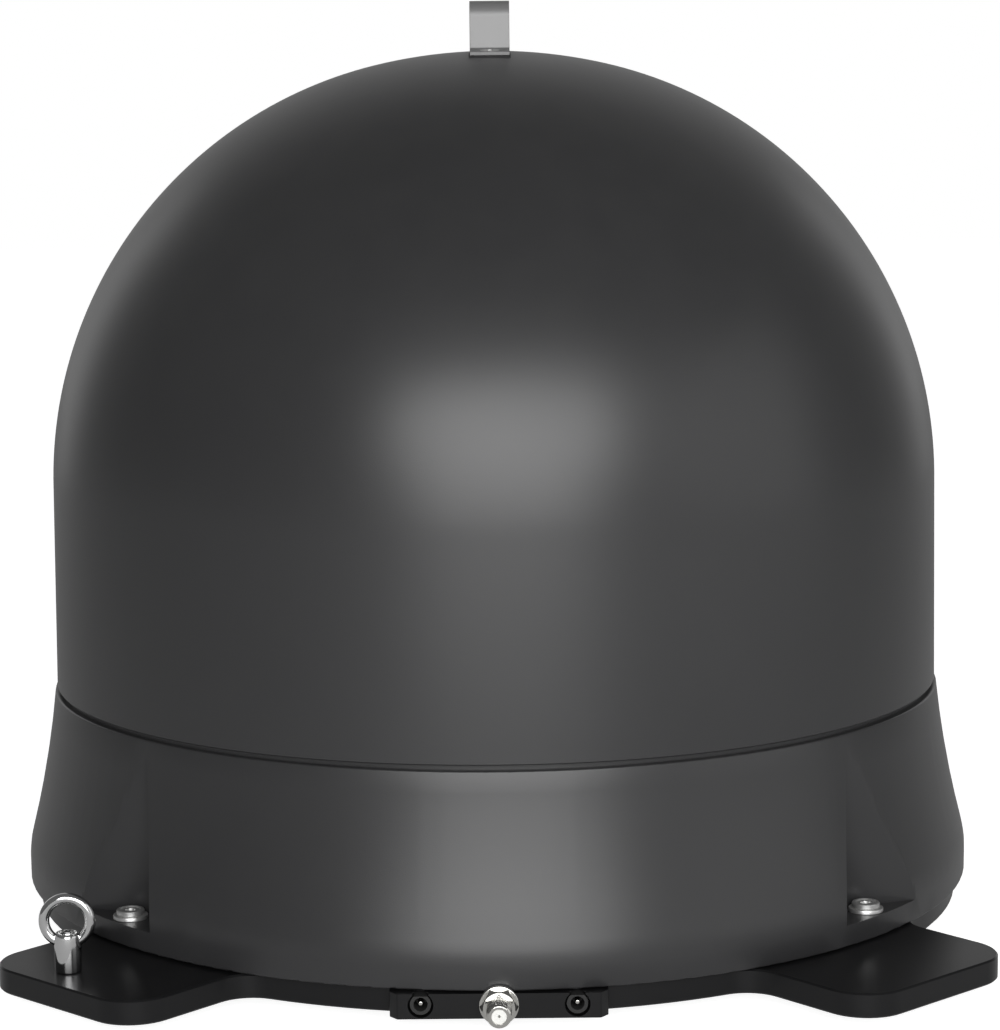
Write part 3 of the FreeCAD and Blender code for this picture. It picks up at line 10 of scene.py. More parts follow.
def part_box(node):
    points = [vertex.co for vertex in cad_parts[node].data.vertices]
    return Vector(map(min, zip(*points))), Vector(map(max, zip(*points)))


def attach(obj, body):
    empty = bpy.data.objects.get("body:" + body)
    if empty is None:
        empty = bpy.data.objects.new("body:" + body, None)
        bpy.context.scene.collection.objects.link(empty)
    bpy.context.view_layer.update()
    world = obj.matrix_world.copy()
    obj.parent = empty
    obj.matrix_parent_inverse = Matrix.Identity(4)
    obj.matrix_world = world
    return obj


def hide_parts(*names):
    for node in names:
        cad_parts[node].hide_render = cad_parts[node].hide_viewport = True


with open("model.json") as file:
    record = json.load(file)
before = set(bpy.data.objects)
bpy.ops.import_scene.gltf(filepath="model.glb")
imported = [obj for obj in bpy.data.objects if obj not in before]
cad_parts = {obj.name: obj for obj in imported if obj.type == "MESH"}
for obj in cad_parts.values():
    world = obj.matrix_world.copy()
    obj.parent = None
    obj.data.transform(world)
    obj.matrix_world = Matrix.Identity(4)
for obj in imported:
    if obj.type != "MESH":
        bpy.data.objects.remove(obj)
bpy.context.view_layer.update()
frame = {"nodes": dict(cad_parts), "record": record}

bl_info = {
    "name": "Satellite dome looks",
    "version": (1, 0, 0),
    "blender": (4, 5, 0),
    "location": "3D View > Sidebar > Dome",
    "description": "Builds the looks of a portable satellite dome around its packed frame",
    "category": "Object",
}

MM = 0.001
BODY_OF = {n: b for b, names in frame["record"]["behaviour"]["bodies"].items() for n in names}
SLOT_OF = {s["node"]: s["material_slot"] for s in frame["record"]["subparts"]}


# ---------------------------------------------------------------- settings
class CoverSettings(bpy.types.PropertyGroup):
    """Sizes and finish of the dome and its skirt"""

    segments: IntProperty(
        name="Segments", description="Divisions round the dome", default=256, min=48, max=512
    )
    colour: FloatVectorProperty(
        name="Colour", description="Moulded plastic", subtype="COLOR", size=3, default=(0.026, 0.026, 0.027)
    )
    roughness: FloatProperty(
        name="Roughness", description="Satin sheen of the moulding", default=0.34, min=0, max=1
    )
    grain: FloatProperty(
        name="Grain", description="Strength of the moulded grain", default=0.12, min=0, max=1
    )


class PlateSettings(bpy.types.PropertyGroup):
    """Finish of the base plate"""

    colour: FloatVectorProperty(
        name="Colour", description="Sheet plastic", subtype="COLOR", size=3, default=(0.006, 0.006, 0.0065)
    )
    roughness: FloatProperty(name="Roughness", description="Gloss of the sheet", default=0.3, min=0, max=1)


class FixingSettings(bpy.types.PropertyGroup):
    """Sizes of the cover screws and of the socket's thread"""

    head_radius: FloatProperty(name="Head radius", description="Screw head", default=5.8 * MM, unit="LENGTH")
    head_height: FloatProperty(name="Head height", description="Screw head", default=2.2 * MM, unit="LENGTH")
    washer_radius: FloatProperty(name="Washer radius", description="Washer", default=7.2 * MM, unit="LENGTH")
    span_x: FloatProperty(name="Span across", description="Screw spacing", default=303.2 * MM, unit="LENGTH")
    span_y: FloatProperty(name="Span along", description="Screw spacing", default=270.4 * MM, unit="LENGTH")
    thread_pitch: FloatProperty(
        name="Thread pitch", description="Coax thread", default=0.79 * MM, unit="LENGTH"
    )


class StageSettings(bpy.types.PropertyGroup):
    """Light and floor"""

    key: FloatProperty(name="Key light", description="Front soft box", default=37.0, min=0, unit="POWER")
    fill: FloatProperty(
        name="Fill light", description="Low front soft box", default=19.0, min=0, unit="POWER"
    )
    rim: FloatProperty(name="Side lights", description="Soft boxes behind the object", default=1.0, min=0)
    side: FloatProperty(
        name="Right fill", description="Weak soft box on the right", default=7.0, min=0, unit="POWER"
    )
    world: FloatProperty(name="World", description="Strength of the light all round", default=1.0, min=0)
    floor: FloatVectorProperty(
        name="Floor", description="Floor colour", subtype="COLOR", size=3, default=(0.6,) * 3
    )


# ---------------------------------------------------------------- node helpers
GRAIN_SCALE = 2500.0
DUST_COLOUR = (0.3, 0.29, 0.27, 1)
BUMP_DEPTH = 0.0001
SMOOTHEST = 0.02


def add(tree, kind, x=0, y=0, **values):
    """A new node of a tree, with its own settings."""
    node = tree.nodes.new(kind)
    node.location = (x, y)
    for key, value in values.items():
        setattr(node, key, value)
    return node


def group_tree(name, inputs, outputs):
    """Empty shader node group with named float inputs and outputs."""
    tree = bpy.data.node_groups.new(name, "ShaderNodeTree")
    for label, default in inputs:
        socket = tree.interface.new_socket(label, in_out="INPUT", socket_type="NodeSocketFloat")
        socket.default_value = default
    for label in outputs:
        tree.interface.new_socket(label, in_out="OUTPUT", socket_type="NodeSocketFloat")
    return tree, add(tree, "NodeGroupInput", -900), add(tree, "NodeGroupOutput", 700)


def math_node(tree, operation, a, b, x=0, y=0, clamp=False):
    """The result of a math node whose inputs are numbers or sockets."""
    node = add(tree, "ShaderNodeMath", x, y, operation=operation, use_clamp=clamp)
    for socket, value in zip(node.inputs, (a, b)):
        if isinstance(value, (int, float)):
            socket.default_value = value
        else:
            tree.links.new(value, socket)
    return node.outputs[0]


def grain_group():
    """Fine moulded grain: a height and a mottling mask."""
    inputs = [("Scale", GRAIN_SCALE), ("Mottle scale", 25.0)]
    tree, into, out = group_tree("moulded_grain", inputs, ["Height", "Mottle"])
    place = add(tree, "ShaderNodeTexCoord", -900, -300).outputs["Object"]
    fine = add(tree, "ShaderNodeTexVoronoi", -500, 100, feature="SMOOTH_F1")
    coarse = add(tree, "ShaderNodeTexNoise", -500, -200)
    coarse.inputs["Detail"].default_value = 4.0
    tree.links.new(place, fine.inputs["Vector"])
    tree.links.new(place, coarse.inputs["Vector"])
    tree.links.new(into.outputs["Scale"], fine.inputs["Scale"])
    tree.links.new(into.outputs["Mottle scale"], coarse.inputs["Scale"])
    tree.links.new(fine.outputs["Distance"], out.inputs["Height"])
    tree.links.new(coarse.outputs["Fac"], out.inputs["Mottle"])
    return tree


def dust_group():
    """Faint dust that gathers on surfaces that face up."""
    tree, into, out = group_tree("settled_dust", [("Scale", 60.0), ("Amount", 0.1)], ["Mask"])
    place = add(tree, "ShaderNodeTexCoord", -900, -300)
    noise = add(tree, "ShaderNodeTexNoise", -500, 0)
    noise.inputs["Detail"].default_value = 6.0
    up = add(tree, "ShaderNodeSeparateXYZ", -500, -300)
    tree.links.new(place.outputs["Object"], noise.inputs["Vector"])
    tree.links.new(place.outputs["Normal"], up.inputs[0])
    tree.links.new(into.outputs["Scale"], noise.inputs["Scale"])
    facing = math_node(tree, "MULTIPLY", up.outputs["Z"], 1.0, -300, -300, clamp=True)
    patchy = math_node(tree, "SUBTRACT", noise.outputs["Fac"], 0.35, -300, 0, clamp=True)
    mask = math_node(tree, "MULTIPLY", facing, patchy, -100, 0)
    scaled = math_node(tree, "MULTIPLY", mask, into.outputs["Amount"], 100, 0, clamp=True)
    tree.links.new(scaled, out.inputs["Mask"])
    return tree


def scratch_group():
    """Fine directional drawing marks."""
    tree, into, out = group_tree("drawn_marks", [("Scale", 300.0), ("Stretch", 0.06)], ["Height"])
    place = add(tree, "ShaderNodeTexCoord", -900, -300).outputs["Object"]
    squeeze = add(tree, "ShaderNodeCombineXYZ", -700, -100)
    squeeze.inputs[0].default_value = 1.0
    squeeze.inputs[1].default_value = 1.0
    tree.links.new(into.outputs["Stretch"], squeeze.inputs[2])
    scaled = add(tree, "ShaderNodeVectorMath", -500, -100, operation="MULTIPLY")
    tree.links.new(place, scaled.inputs[0])
    tree.links.new(squeeze.outputs[0], scaled.inputs[1])
    noise = add(tree, "ShaderNodeTexNoise", -300, 0)
    noise.inputs["Detail"].default_value = 5.0
    tree.links.new(scaled.outputs[0], noise.inputs["Vector"])
    tree.links.new(into.outputs["Scale"], noise.inputs["Scale"])
    tree.links.new(noise.outputs["Fac"], out.inputs["Height"])
    return tree


GROUPS = {}


def groups():
    """The shared shader groups, made once."""
    if not GROUPS:
        GROUPS.update(grain=grain_group(), dust=dust_group(), marks=scratch_group())
    return GROUPS


def use_group(tree, name, x, y, **values):
    """A shared group in a material, its inputs named by their labels."""
    node = add(tree, "ShaderNodeGroup", x, y)
    node.node_tree = groups()[name]
    for label, value in values.items():
        node.inputs[label.replace("_", " ").capitalize()].default_value = value
    return node


def finish(name, colour, roughness, metallic=0.0, grain=0.0, grain_scale=GRAIN_SCALE, vary=0.15, dust=0.0,
           marks=0.0, specular=0.5):
    """One procedural material: mottled colour and roughness, grain or drawing marks, a little dust."""
    material = bpy.data.materials.get(name)
    if material:
        return material
    material = bpy.data.materials.new(name)
    material.use_nodes = True
    tree = material.node_tree
    surface = tree.nodes["Principled BSDF"]
    surface.inputs["Metallic"].default_value = metallic
    surface.inputs["Specular IOR Level"].default_value = specular
    grained = use_group(tree, "grain", -900, 0, scale=grain_scale)
    tone = add(tree, "ShaderNodeMix", -500, 200, data_type="RGBA")
    low, high = 1.0 - vary, 1.0 + vary
    tone.inputs["A"].default_value = (*[min(1.0, c * low) for c in colour], 1)
    tone.inputs["B"].default_value = (*[min(1.0, c * high) for c in colour], 1)
    tree.links.new(grained.outputs["Mottle"], tone.inputs["Factor"])
    colour_out = tone.outputs["Result"]
    if dust:
        dusty = use_group(tree, "dust", -900, 500, amount=dust)
        over = add(tree, "ShaderNodeMix", -250, 300, data_type="RGBA")
        over.inputs["B"].default_value = DUST_COLOUR
        tree.links.new(dusty.outputs["Mask"], over.inputs["Factor"])
        tree.links.new(colour_out, over.inputs["A"])
        colour_out = over.outputs["Result"]
    tree.links.new(colour_out, surface.inputs["Base Color"])
    rough = add(tree, "ShaderNodeMapRange", -500, -100)
    rough.inputs["To Min"].default_value = max(SMOOTHEST, roughness * (1 - vary))
    rough.inputs["To Max"].default_value = min(1.0, roughness * (1 + vary))
    tree.links.new(grained.outputs["Mottle"], rough.inputs["Value"])
    tree.links.new(rough.outputs["Result"], surface.inputs["Roughness"])
    height = None
    if marks:
        height = use_group(tree, "marks", -900, -400).outputs["Height"]
    elif grain:
        height = grained.outputs["Height"]
    if height is not None:
        bump = add(tree, "ShaderNodeBump", -250, -300)
        bump.inputs["Strength"].default_value = marks or grain
        bump.inputs["Distance"].default_value = BUMP_DEPTH
        tree.links.new(height, bump.inputs["Height"])
        tree.links.new(bump.outputs["Normal"], surface.inputs["Normal"])
    return material


def slot_material(slot):
    """The finish of one material slot of the record."""
    scene = bpy.context.scene
    cover, plate = scene.dome_cover, scene.dome_plate
    if slot == "cover_plastic":
        rest = dict(grain=cover.grain, vary=0.05, dust=0.04)
        return finish("cover_moulding", cover.colour, cover.roughness, **rest)
    if slot == "plate_plastic":
        rest = dict(grain=0.05, vary=0.12, dust=0.02, specular=0.32)
        return finish("plate_sheet", plate.colour, plate.roughness, **rest)
    table = {
        "handle_metal": ((0.058, 0.058, 0.058), 0.6, dict(marks=0.08, vary=0.08, specular=0.12)),
        "rubber": ((0.012, 0.012, 0.012), 0.75, dict(grain=0.2, grain_scale=1500.0)),
        "steel": ((0.46, 0.46, 0.45), 0.3, dict(metallic=1.0, marks=0.1)),
        "eye_chrome": ((0.72, 0.72, 0.71), 0.13, dict(metallic=1.0, marks=0.04, vary=0.1)),
        "nickel": ((0.52, 0.51, 0.49), 0.26, dict(metallic=1.0, marks=0.05, vary=0.1)),
        "white_plastic": ((0.5, 0.49, 0.47), 0.4, dict(grain=0.05)),
        "brass": ((0.72, 0.52, 0.24), 0.3, dict(metallic=1.0, marks=0.08)),
        "socket_plastic": ((0.012, 0.012, 0.013), 0.38, dict(grain=0.08)),
        "aluminium": ((0.7, 0.7, 0.71), 0.35, dict(metallic=1.0, marks=0.15)),
        "gear_plastic": ((0.72, 0.71, 0.66), 0.42, dict(grain=0.05)),
        "lead_jacket": ((0.013, 0.013, 0.013), 0.5, dict(grain=0.1)),
        "board_green": ((0.015, 0.11, 0.04), 0.3, dict(grain=0.05, vary=0.25)),
        "sheet_steel": ((0.55, 0.56, 0.57), 0.4, dict(metallic=1.0, marks=0.12, vary=0.25)),
        "motor_metal": ((0.42, 0.42, 0.43), 0.35, dict(metallic=1.0, marks=0.12)),
        "tinned_steel": ((0.66, 0.66, 0.63), 0.28, dict(metallic=1.0, marks=0.06)),
        "reflector_paint": ((0.42, 0.43, 0.43), 0.45, dict(grain=0.1, grain_scale=1200.0, vary=0.05)),
        "lnb_plastic": ((0.5, 0.5, 0.47), 0.42, dict(grain=0.1)),
    }
    colour, roughness, rest = table[slot]
    return finish(slot, colour, roughness, **rest)


# ---------------------------------------------------------------- mesh helpers
ON_AXIS = 1e-7
SAME_POINT = 1e-6


def keep(name, mesh, node):
    """Makes a mesh a finished piece that rides on the body of the node it stands for."""
    piece = bpy.data.objects.new(name, mesh)
    bpy.context.scene.collection.objects.link(piece)
    if not mesh.materials:
        mesh.materials.append(slot_material(SLOT_OF[node]))
    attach(piece, BODY_OF[node])
    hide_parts(node)
    return piece


def lathe(profile, segments, closed=True):
    """Mesh of revolution about Z from (radius, height) points; points on the axis become poles."""
    bm = bmesh.new()
    rings = []
    for r, z in profile:
        if r < ON_AXIS:
            rings.append([bm.verts.new((0, 0, z))])
            continue
        turn = [2 * math.pi * i / segments for i in range(segments)]
        rings.append([bm.verts.new((r * math.cos(a), r * math.sin(a), z)) for a in turn])
    pairs = list(zip(rings, rings[1:] + rings[:1])) if closed else list(zip(rings, rings[1:]))
    for lower, upper in pairs:
        if len(lower) == 1 and len(upper) == 1:
            continue
        for i in range(segments):
            j = (i + 1) % segments
            if len(lower) == 1:
                bm.faces.new((lower[0], upper[j], upper[i]))
            elif len(upper) == 1:
                bm.faces.new((lower[i], lower[j], upper[0]))
            else:
                bm.faces.new((lower[i], lower[j], upper[j], upper[i]))
    bmesh.ops.recalc_face_normals(bm, faces=bm.faces)
    return bm


def finish_mesh(bm, name, angle=32.0):
    """Smooth faces with sharp edges where the surface turns more than the angle."""
    limit = math.radians(angle)
    for face in bm.faces:
        face.smooth = True
    for edge in bm.edges:
        edge.smooth = len(edge.link_faces) == 2 and edge.calc_face_angle(0.0) < limit
    mesh = bpy.data.meshes.new(name)
    bm.to_mesh(mesh)
    bm.free()
    return mesh


def refine(node, name=None, angle=32.0, bevel=0.0):
    """A merged, smoothly shaded copy of a frame node, its edges optionally broken."""
    bm = bmesh.new()
    bm.from_mesh(frame["nodes"][node].data)
    bmesh.ops.remove_doubles(bm, verts=bm.verts, dist=SAME_POINT)
    bmesh.ops.dissolve_degenerate(bm, edges=bm.edges, dist=SAME_POINT)
    mesh = finish_mesh(bm, name or node + "_piece", angle)
    mesh.materials.clear()
    mesh.materials.append(slot_material(SLOT_OF[node]))
    piece = keep(name or node + "_piece", mesh, node)
    if bevel:
        round_edges(piece, bevel)
    return piece


def round_edges(piece, width):
    """Breaks a piece's sharp edges by a width."""
    bevel = piece.modifiers.new("edges", "BEVEL")
    bevel.width = width
    bevel.segments = 2
    bevel.limit_method = "ANGLE"
    bevel.angle_limit = math.radians(40)


def joined(parts):
    """One bmesh out of several, each moved by its matrix."""
    whole = bmesh.new()
    for bm, matrix in parts:
        bm.transform(matrix)
        mesh = bpy.data.meshes.new("part")
        bm.to_mesh(mesh)
        bm.free()
        whole.from_mesh(mesh)
        bpy.data.meshes.remove(mesh)
    return whole


def arc(centre, radius, start, end, steps):
    """Points of an arc in the (radius, height) plane, angles in degrees above horizontal."""
    turn = [math.radians(start + (end - start) * i / steps) for i in range(steps + 1)]
    return [(centre[0] + radius * math.cos(a), centre[1] + radius * math.sin(a)) for a in turn]


def scaled(points):
    """Points in metres out of points in millimetres."""
    return [(r * MM, z * MM) for r, z in points]


# ---------------------------------------------------------------- geometry nodes
def corner_tree():
    """Puts the object's own mesh on the four corners of a rectangle."""
    tree = bpy.data.node_groups.new("on_four_corners", "GeometryNodeTree")
    face = tree.interface
    face.new_socket("Geometry", in_out="INPUT", socket_type="NodeSocketGeometry")
    for label in ("Span X", "Span Y", "Height"):
        face.new_socket(label, in_out="INPUT", socket_type="NodeSocketFloat")
    face.new_socket("Material", in_out="INPUT", socket_type="NodeSocketMaterial")
    face.new_socket("Geometry", in_out="OUTPUT", socket_type="NodeSocketGeometry")
    into, out = add(tree, "NodeGroupInput", -600), add(tree, "NodeGroupOutput", 800)
    grid = add(tree, "GeometryNodeMeshGrid", -400, 200)
    grid.inputs["Vertices X"].default_value = 2
    grid.inputs["Vertices Y"].default_value = 2
    lift = add(tree, "ShaderNodeCombineXYZ", -400, -200)
    move = add(tree, "GeometryNodeTransform", -150, 200)
    place = add(tree, "GeometryNodeInstanceOnPoints", 100, 100)
    real = add(tree, "GeometryNodeRealizeInstances", 350, 100)
    paint = add(tree, "GeometryNodeSetMaterial", 600, 100)
    join = tree.links.new
    join(into.outputs["Span X"], grid.inputs["Size X"])
    join(into.outputs["Span Y"], grid.inputs["Size Y"])
    join(into.outputs["Height"], lift.inputs["Z"])
    join(grid.outputs["Mesh"], move.inputs["Geometry"])
    join(lift.outputs[0], move.inputs["Translation"])
    join(move.outputs[0], place.inputs["Points"])
    join(into.outputs["Geometry"], place.inputs["Instance"])
    join(place.outputs[0], real.inputs[0])
    join(real.outputs[0], paint.inputs["Geometry"])
    join(into.outputs["Material"], paint.inputs["Material"])
    join(paint.outputs[0], out.inputs[0])
    return tree


def thread_tree():
    """A helical ridge of a given radius, pitch and length, rising along Z."""
    tree = bpy.data.node_groups.new("thread_ridge", "GeometryNodeTree")
    face = tree.interface
    face.new_socket("Geometry", in_out="INPUT", socket_type="NodeSocketGeometry")
    for label in ("Radius", "Length", "Turns", "Ridge"):
        face.new_socket(label, in_out="INPUT", socket_type="NodeSocketFloat")
    face.new_socket("Material", in_out="INPUT", socket_type="NodeSocketMaterial")
    face.new_socket("Geometry", in_out="OUTPUT", socket_type="NodeSocketGeometry")
    into, out = add(tree, "NodeGroupInput", -600), add(tree, "NodeGroupOutput", 800)
    spiral = add(tree, "GeometryNodeCurveSpiral", -350, 200)
    spiral.inputs["Resolution"].default_value = 32
    ridge = add(tree, "GeometryNodeCurvePrimitiveCircle", -350, -150)
    ridge.inputs["Resolution"].default_value = 6
    sweep = add(tree, "GeometryNodeCurveToMesh", 0, 100)
    sweep.inputs["Fill Caps"].default_value = True
    real = add(tree, "GeometryNodeRealizeInstances", 300, 100)
    paint = add(tree, "GeometryNodeSetMaterial", 550, 100)
    join = tree.links.new
    join(into.outputs["Turns"], spiral.inputs["Rotations"])
    join(into.outputs["Radius"], spiral.inputs["Start Radius"])
    join(into.outputs["Radius"], spiral.inputs["End Radius"])
    join(into.outputs["Length"], spiral.inputs["Height"])
    join(into.outputs["Ridge"], ridge.inputs["Radius"])
    join(spiral.outputs["Curve"], sweep.inputs["Curve"])
    join(ridge.outputs["Curve"], sweep.inputs["Profile Curve"])
    join(sweep.outputs[0], real.inputs[0])
    join(real.outputs[0], paint.inputs["Geometry"])
    join(into.outputs["Material"], paint.inputs["Material"])
    join(paint.outputs[0], out.inputs[0])
    return tree


def grown(mesh, tree, **values):
    """The plain mesh that a geometry tree makes out of a mesh, its inputs named by their labels."""
    holder = bpy.data.objects.new("holder", mesh)
    bpy.context.scene.collection.objects.link(holder)
    modifier = holder.modifiers.new("grow", "NODES")
    modifier.node_group = tree
    wanted = {label.replace("_", " ").lower(): value for label, value in values.items()}
    for item in tree.interface.items_tree:
        if item.in_out == "INPUT" and item.name.lower() in wanted:
            modifier[item.identifier] = wanted[item.name.lower()]
    bpy.context.view_layer.update()
    graph = bpy.context.evaluated_depsgraph_get()
    result = bpy.data.meshes.new_from_object(holder.evaluated_get(graph))
    bpy.data.objects.remove(holder)
    return result


# ---------------------------------------------------------------- sizes of the pieces, in millimetres
SKIRT_TOP = 95.11
GROOVE_GAP = 1.4
WALL = 3.0
DOME_FOOT = SKIRT_TOP + GROOVE_GAP
DOME_FOOT_R = 197.2
SPRING = 184.2
SHOULDER_C = 8.0
SHOULDER_R = 188.3
CROWN_R = 223.4
SPIGOT_R = 195.0
SPIGOT_T = 2.2
SPIGOT_H = 11.0
SCREW_SEAT = 19.5
WASHER_T = 1.7
WASHER_BORE_R = 3.15
KEY_R = 2.2
SHANK_R = 3.0
SHANK_LENGTH = 19.2
PLATE_TOP = 10.0
EYE_POST = [(3.0, 0), (4.6, 0), (5.2, 0.3), (5.4, 0.9), (5.4, 14.6), (5.2, 15.5), (4.6, 16.0), (3.9, 16.0),
            (3.9, 14.0), (3.0, 14.0)]
EYE_RING_R = 9.2
EYE_WIRE_R = 2.15
EYE_RING_Z = 30.8
COAX_Z = 5.5
THREAD_START_Y = -220.9
THREAD_LENGTH = 5.6
THREAD_MIDDLE_R = 4.66
THREAD_RIDGE_R = 0.24


# ---------------------------------------------------------------- pieces


def dome_profile():
    """Closed outline of the dome's wall: outside up, inside down, with its spigot."""
    crown_z = SPRING - math.sqrt((CROWN_R - SHOULDER_R) ** 2 - SHOULDER_C ** 2)
    meet = math.degrees(math.atan2(SPRING - crown_z, SHOULDER_C))
    inner_crown = CROWN_R - WALL
    bore = SPIGOT_R - SPIGOT_T
    points = [(SPIGOT_R + 0.4, DOME_FOOT), (DOME_FOOT_R - 0.4, DOME_FOOT), (DOME_FOOT_R, DOME_FOOT + 0.4)]
    points += [(DOME_FOOT_R - 0.1, DOME_FOOT + 10), (DOME_FOOT_R - 0.3, DOME_FOOT + 30)]
    points += [(DOME_FOOT_R - 0.6, DOME_FOOT + 60)]
    points += arc((SHOULDER_C, SPRING), SHOULDER_R, 0, meet, 56)
    points += arc((0, crown_z), CROWN_R, meet, 90, 10)[1:-1] + [(0, crown_z + CROWN_R)]
    points += [(0, crown_z + inner_crown)] + arc((0, crown_z), inner_crown, 90, meet, 8)[1:]
    points += arc((SHOULDER_C, SPRING), SHOULDER_R - WALL, meet, 0, 40)[1:]
    points += [(DOME_FOOT_R - WALL, DOME_FOOT), (bore, DOME_FOOT - 2), (bore, DOME_FOOT - SPIGOT_H)]
    points += [(SPIGOT_R, DOME_FOOT - SPIGOT_H), (SPIGOT_R, DOME_FOOT - 0.2)]
    return scaled(points)


class OBJECT_OT_dome(bpy.types.Operator):
    """The dome of the cover, one smooth wall with its spigot"""

    bl_idname = "dome.shell"
    bl_label = "Dome"

    def execute(self, context):
        bm = lathe(dome_profile(), context.scene.dome_cover.segments)
        keep("dome", finish_mesh(bm, "dome", 40), "dome_shell")
        return {"FINISHED"}


class OBJECT_OT_skirt(bpy.types.Operator):
    """The flared skirt with its four screw pockets"""

    bl_idname = "dome.skirt"
    bl_label = "Skirt"

    def execute(self, context):
        refine("skirt_ring", "skirt", angle=44)
        return {"FINISHED"}


class OBJECT_OT_handle(bpy.types.Operator):
    """The strap handle with its gaskets, screws and nuts"""

    bl_idname = "dome.handle"
    bl_label = "Handle"

    def execute(self, context):
        refine("carry_handle", "handle", bevel=0.25 * MM)
        for node in ("handle_gaskets", "handle_screws", "handle_nuts"):
            refine(node)
        return {"FINISHED"}


def screw_head(settings):
    """Round head with a dished top and a key hole, standing on z = 0, with its shank below."""
    r, h = settings.head_radius, settings.head_height
    key, shank, end = KEY_R * MM, SHANK_R * MM, -SHANK_LENGTH * MM
    outline = [(0, h * 0.45), (key, h * 0.45), (key + 0.1 * MM, h * 0.74), (r * 0.66, h * 0.76)]
    outline += [(r * 0.74, h * 0.98), (r * 0.84, h), (r * 0.95, h * 0.9), (r, h * 0.7)]
    outline += [(r, 0.3 * MM), (r - 0.3 * MM, 0), (shank, 0), (shank, end + 0.4 * MM)]
    outline += [(shank - 0.5 * MM, end), (0, end)]
    return lathe(outline, 48, closed=False)


def washer_ring(settings):
    """Washer with rounded upper edges, lying on z = 0."""
    r, t = settings.washer_radius, WASHER_T * MM
    bore = WASHER_BORE_R * MM
    outline = [(bore, 0), (r - 0.2 * MM, 0), (r, 0.2 * MM), (r, t - 0.5 * MM)]
    outline += [(r - 0.15 * MM, t - 0.15 * MM), (r - 0.5 * MM, t)]
    outline += [(bore + 0.25 * MM, t), (bore, t - 0.2 * MM)]
    return lathe(outline, 64)


class OBJECT_OT_cover_fixings(bpy.types.Operator):
    """The four cover screws and their washers"""

    bl_idname = "dome.cover_fixings"
    bl_label = "Cover screws"

    def execute(self, context):
        settings = context.scene.dome_fixings
        steel = slot_material("steel")
        seat = SCREW_SEAT * MM
        tree = corner_tree()
        head = finish_mesh(screw_head(settings), "head", 30)
        spans = dict(span_x=settings.span_x, span_y=settings.span_y, material=steel)
        keep("cover_screw_set", grown(head, tree, height=seat + WASHER_T * MM, **spans), "cover_screws")
        ring = finish_mesh(washer_ring(settings), "ring", 30)
        keep("cover_washer_set", grown(ring, tree, height=seat, **spans), "cover_washers")
        return {"FINISHED"}


class OBJECT_OT_base(bpy.types.Operator):
    """The lobed base plate with its feet, inserts and seal"""

    bl_idname = "dome.base"
    bl_label = "Base plate"

    def execute(self, context):
        for node in ("base_plate", "rubber_feet", "thread_inserts", "seal_ring"):
            refine(node)
        return {"FINISHED"}


def wire_ring(radius, wire, steps=96, sides=24):
    """A round wire bent into a ring about the Y axis."""
    bm = bmesh.new()
    rings = []
    for i in range(steps):
        a = 2 * math.pi * i / steps
        middle = Vector((math.cos(a), 0, math.sin(a))) * radius
        out = middle.normalized()
        ring = []
        for j in range(sides):
            b = 2 * math.pi * j / sides
            ring.append(bm.verts.new(middle + (out * math.cos(b) + Vector((0, math.sin(b), 0))) * wire))
        rings.append(ring)
    for i in range(steps):
        for j in range(sides):
            a, b = rings[i], rings[(i + 1) % steps]
            k = (j + 1) % sides
            bm.faces.new((a[j], a[k], b[k], b[j]))
    bmesh.ops.recalc_face_normals(bm, faces=bm.faces)
    return bm


class OBJECT_OT_eye(bpy.types.Operator):
    """The lifting eye with its stud and nut"""

    bl_idname = "dome.eye"
    bl_label = "Eye"

    def execute(self, context):
        lo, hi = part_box("eye_bolt")
        x, y = (lo[0] + hi[0]) / 2, (lo[1] + hi[1]) / 2
        post = lathe(scaled(EYE_POST), 64)
        ring = wire_ring(EYE_RING_R * MM, EYE_WIRE_R * MM)
        post_place = Matrix.Translation((x, y, PLATE_TOP * MM))
        ring_place = Matrix.Translation((x, y, EYE_RING_Z * MM))
        bm = joined([(post, post_place), (ring, ring_place)])
        keep("eye", finish_mesh(bm, "eye", 35), "eye_bolt")
        refine("eye_stud")
        refine("eye_locknut")
        return {"FINISHED"}


class OBJECT_OT_coax(bpy.types.Operator):
    """The threaded coax socket with its washer and nut"""

    bl_idname = "dome.coax"
    bl_label = "Coax socket"

    def execute(self, context):
        settings = context.scene.dome_fixings
        refine("coax_socket", bevel=0.12 * MM)
        for node in ("coax_insulator", "coax_washer", "coax_nut"):
            refine(node)
        length = THREAD_LENGTH * MM
        values = dict(radius=THREAD_MIDDLE_R * MM, length=length, ridge=THREAD_RIDGE_R * MM)
        values.update(turns=length / settings.thread_pitch, material=slot_material("nickel"))
        ridge = grown(bpy.data.meshes.new("start"), thread_tree(), **values)
        place = Matrix.Translation((0, THREAD_START_Y * MM, COAX_Z * MM))
        ridge.transform(place @ Matrix.Rotation(math.radians(90), 4, "X"))
        thread = bpy.data.objects.new("coax_thread", ridge)
        context.scene.collection.objects.link(thread)
        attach(thread, "base")
        return {"FINISHED"}


class OBJECT_OT_power(bpy.types.Operator):
    """The two power sockets with their pins, the board behind them and its parts"""

    bl_idname = "dome.power"
    bl_label = "Power"

    def execute(self, context):
        for node in ("power_socket_left", "power_socket_right", "power_pins", "power_board", "board_parts"):
            refine(node)
        return {"FINISHED"}


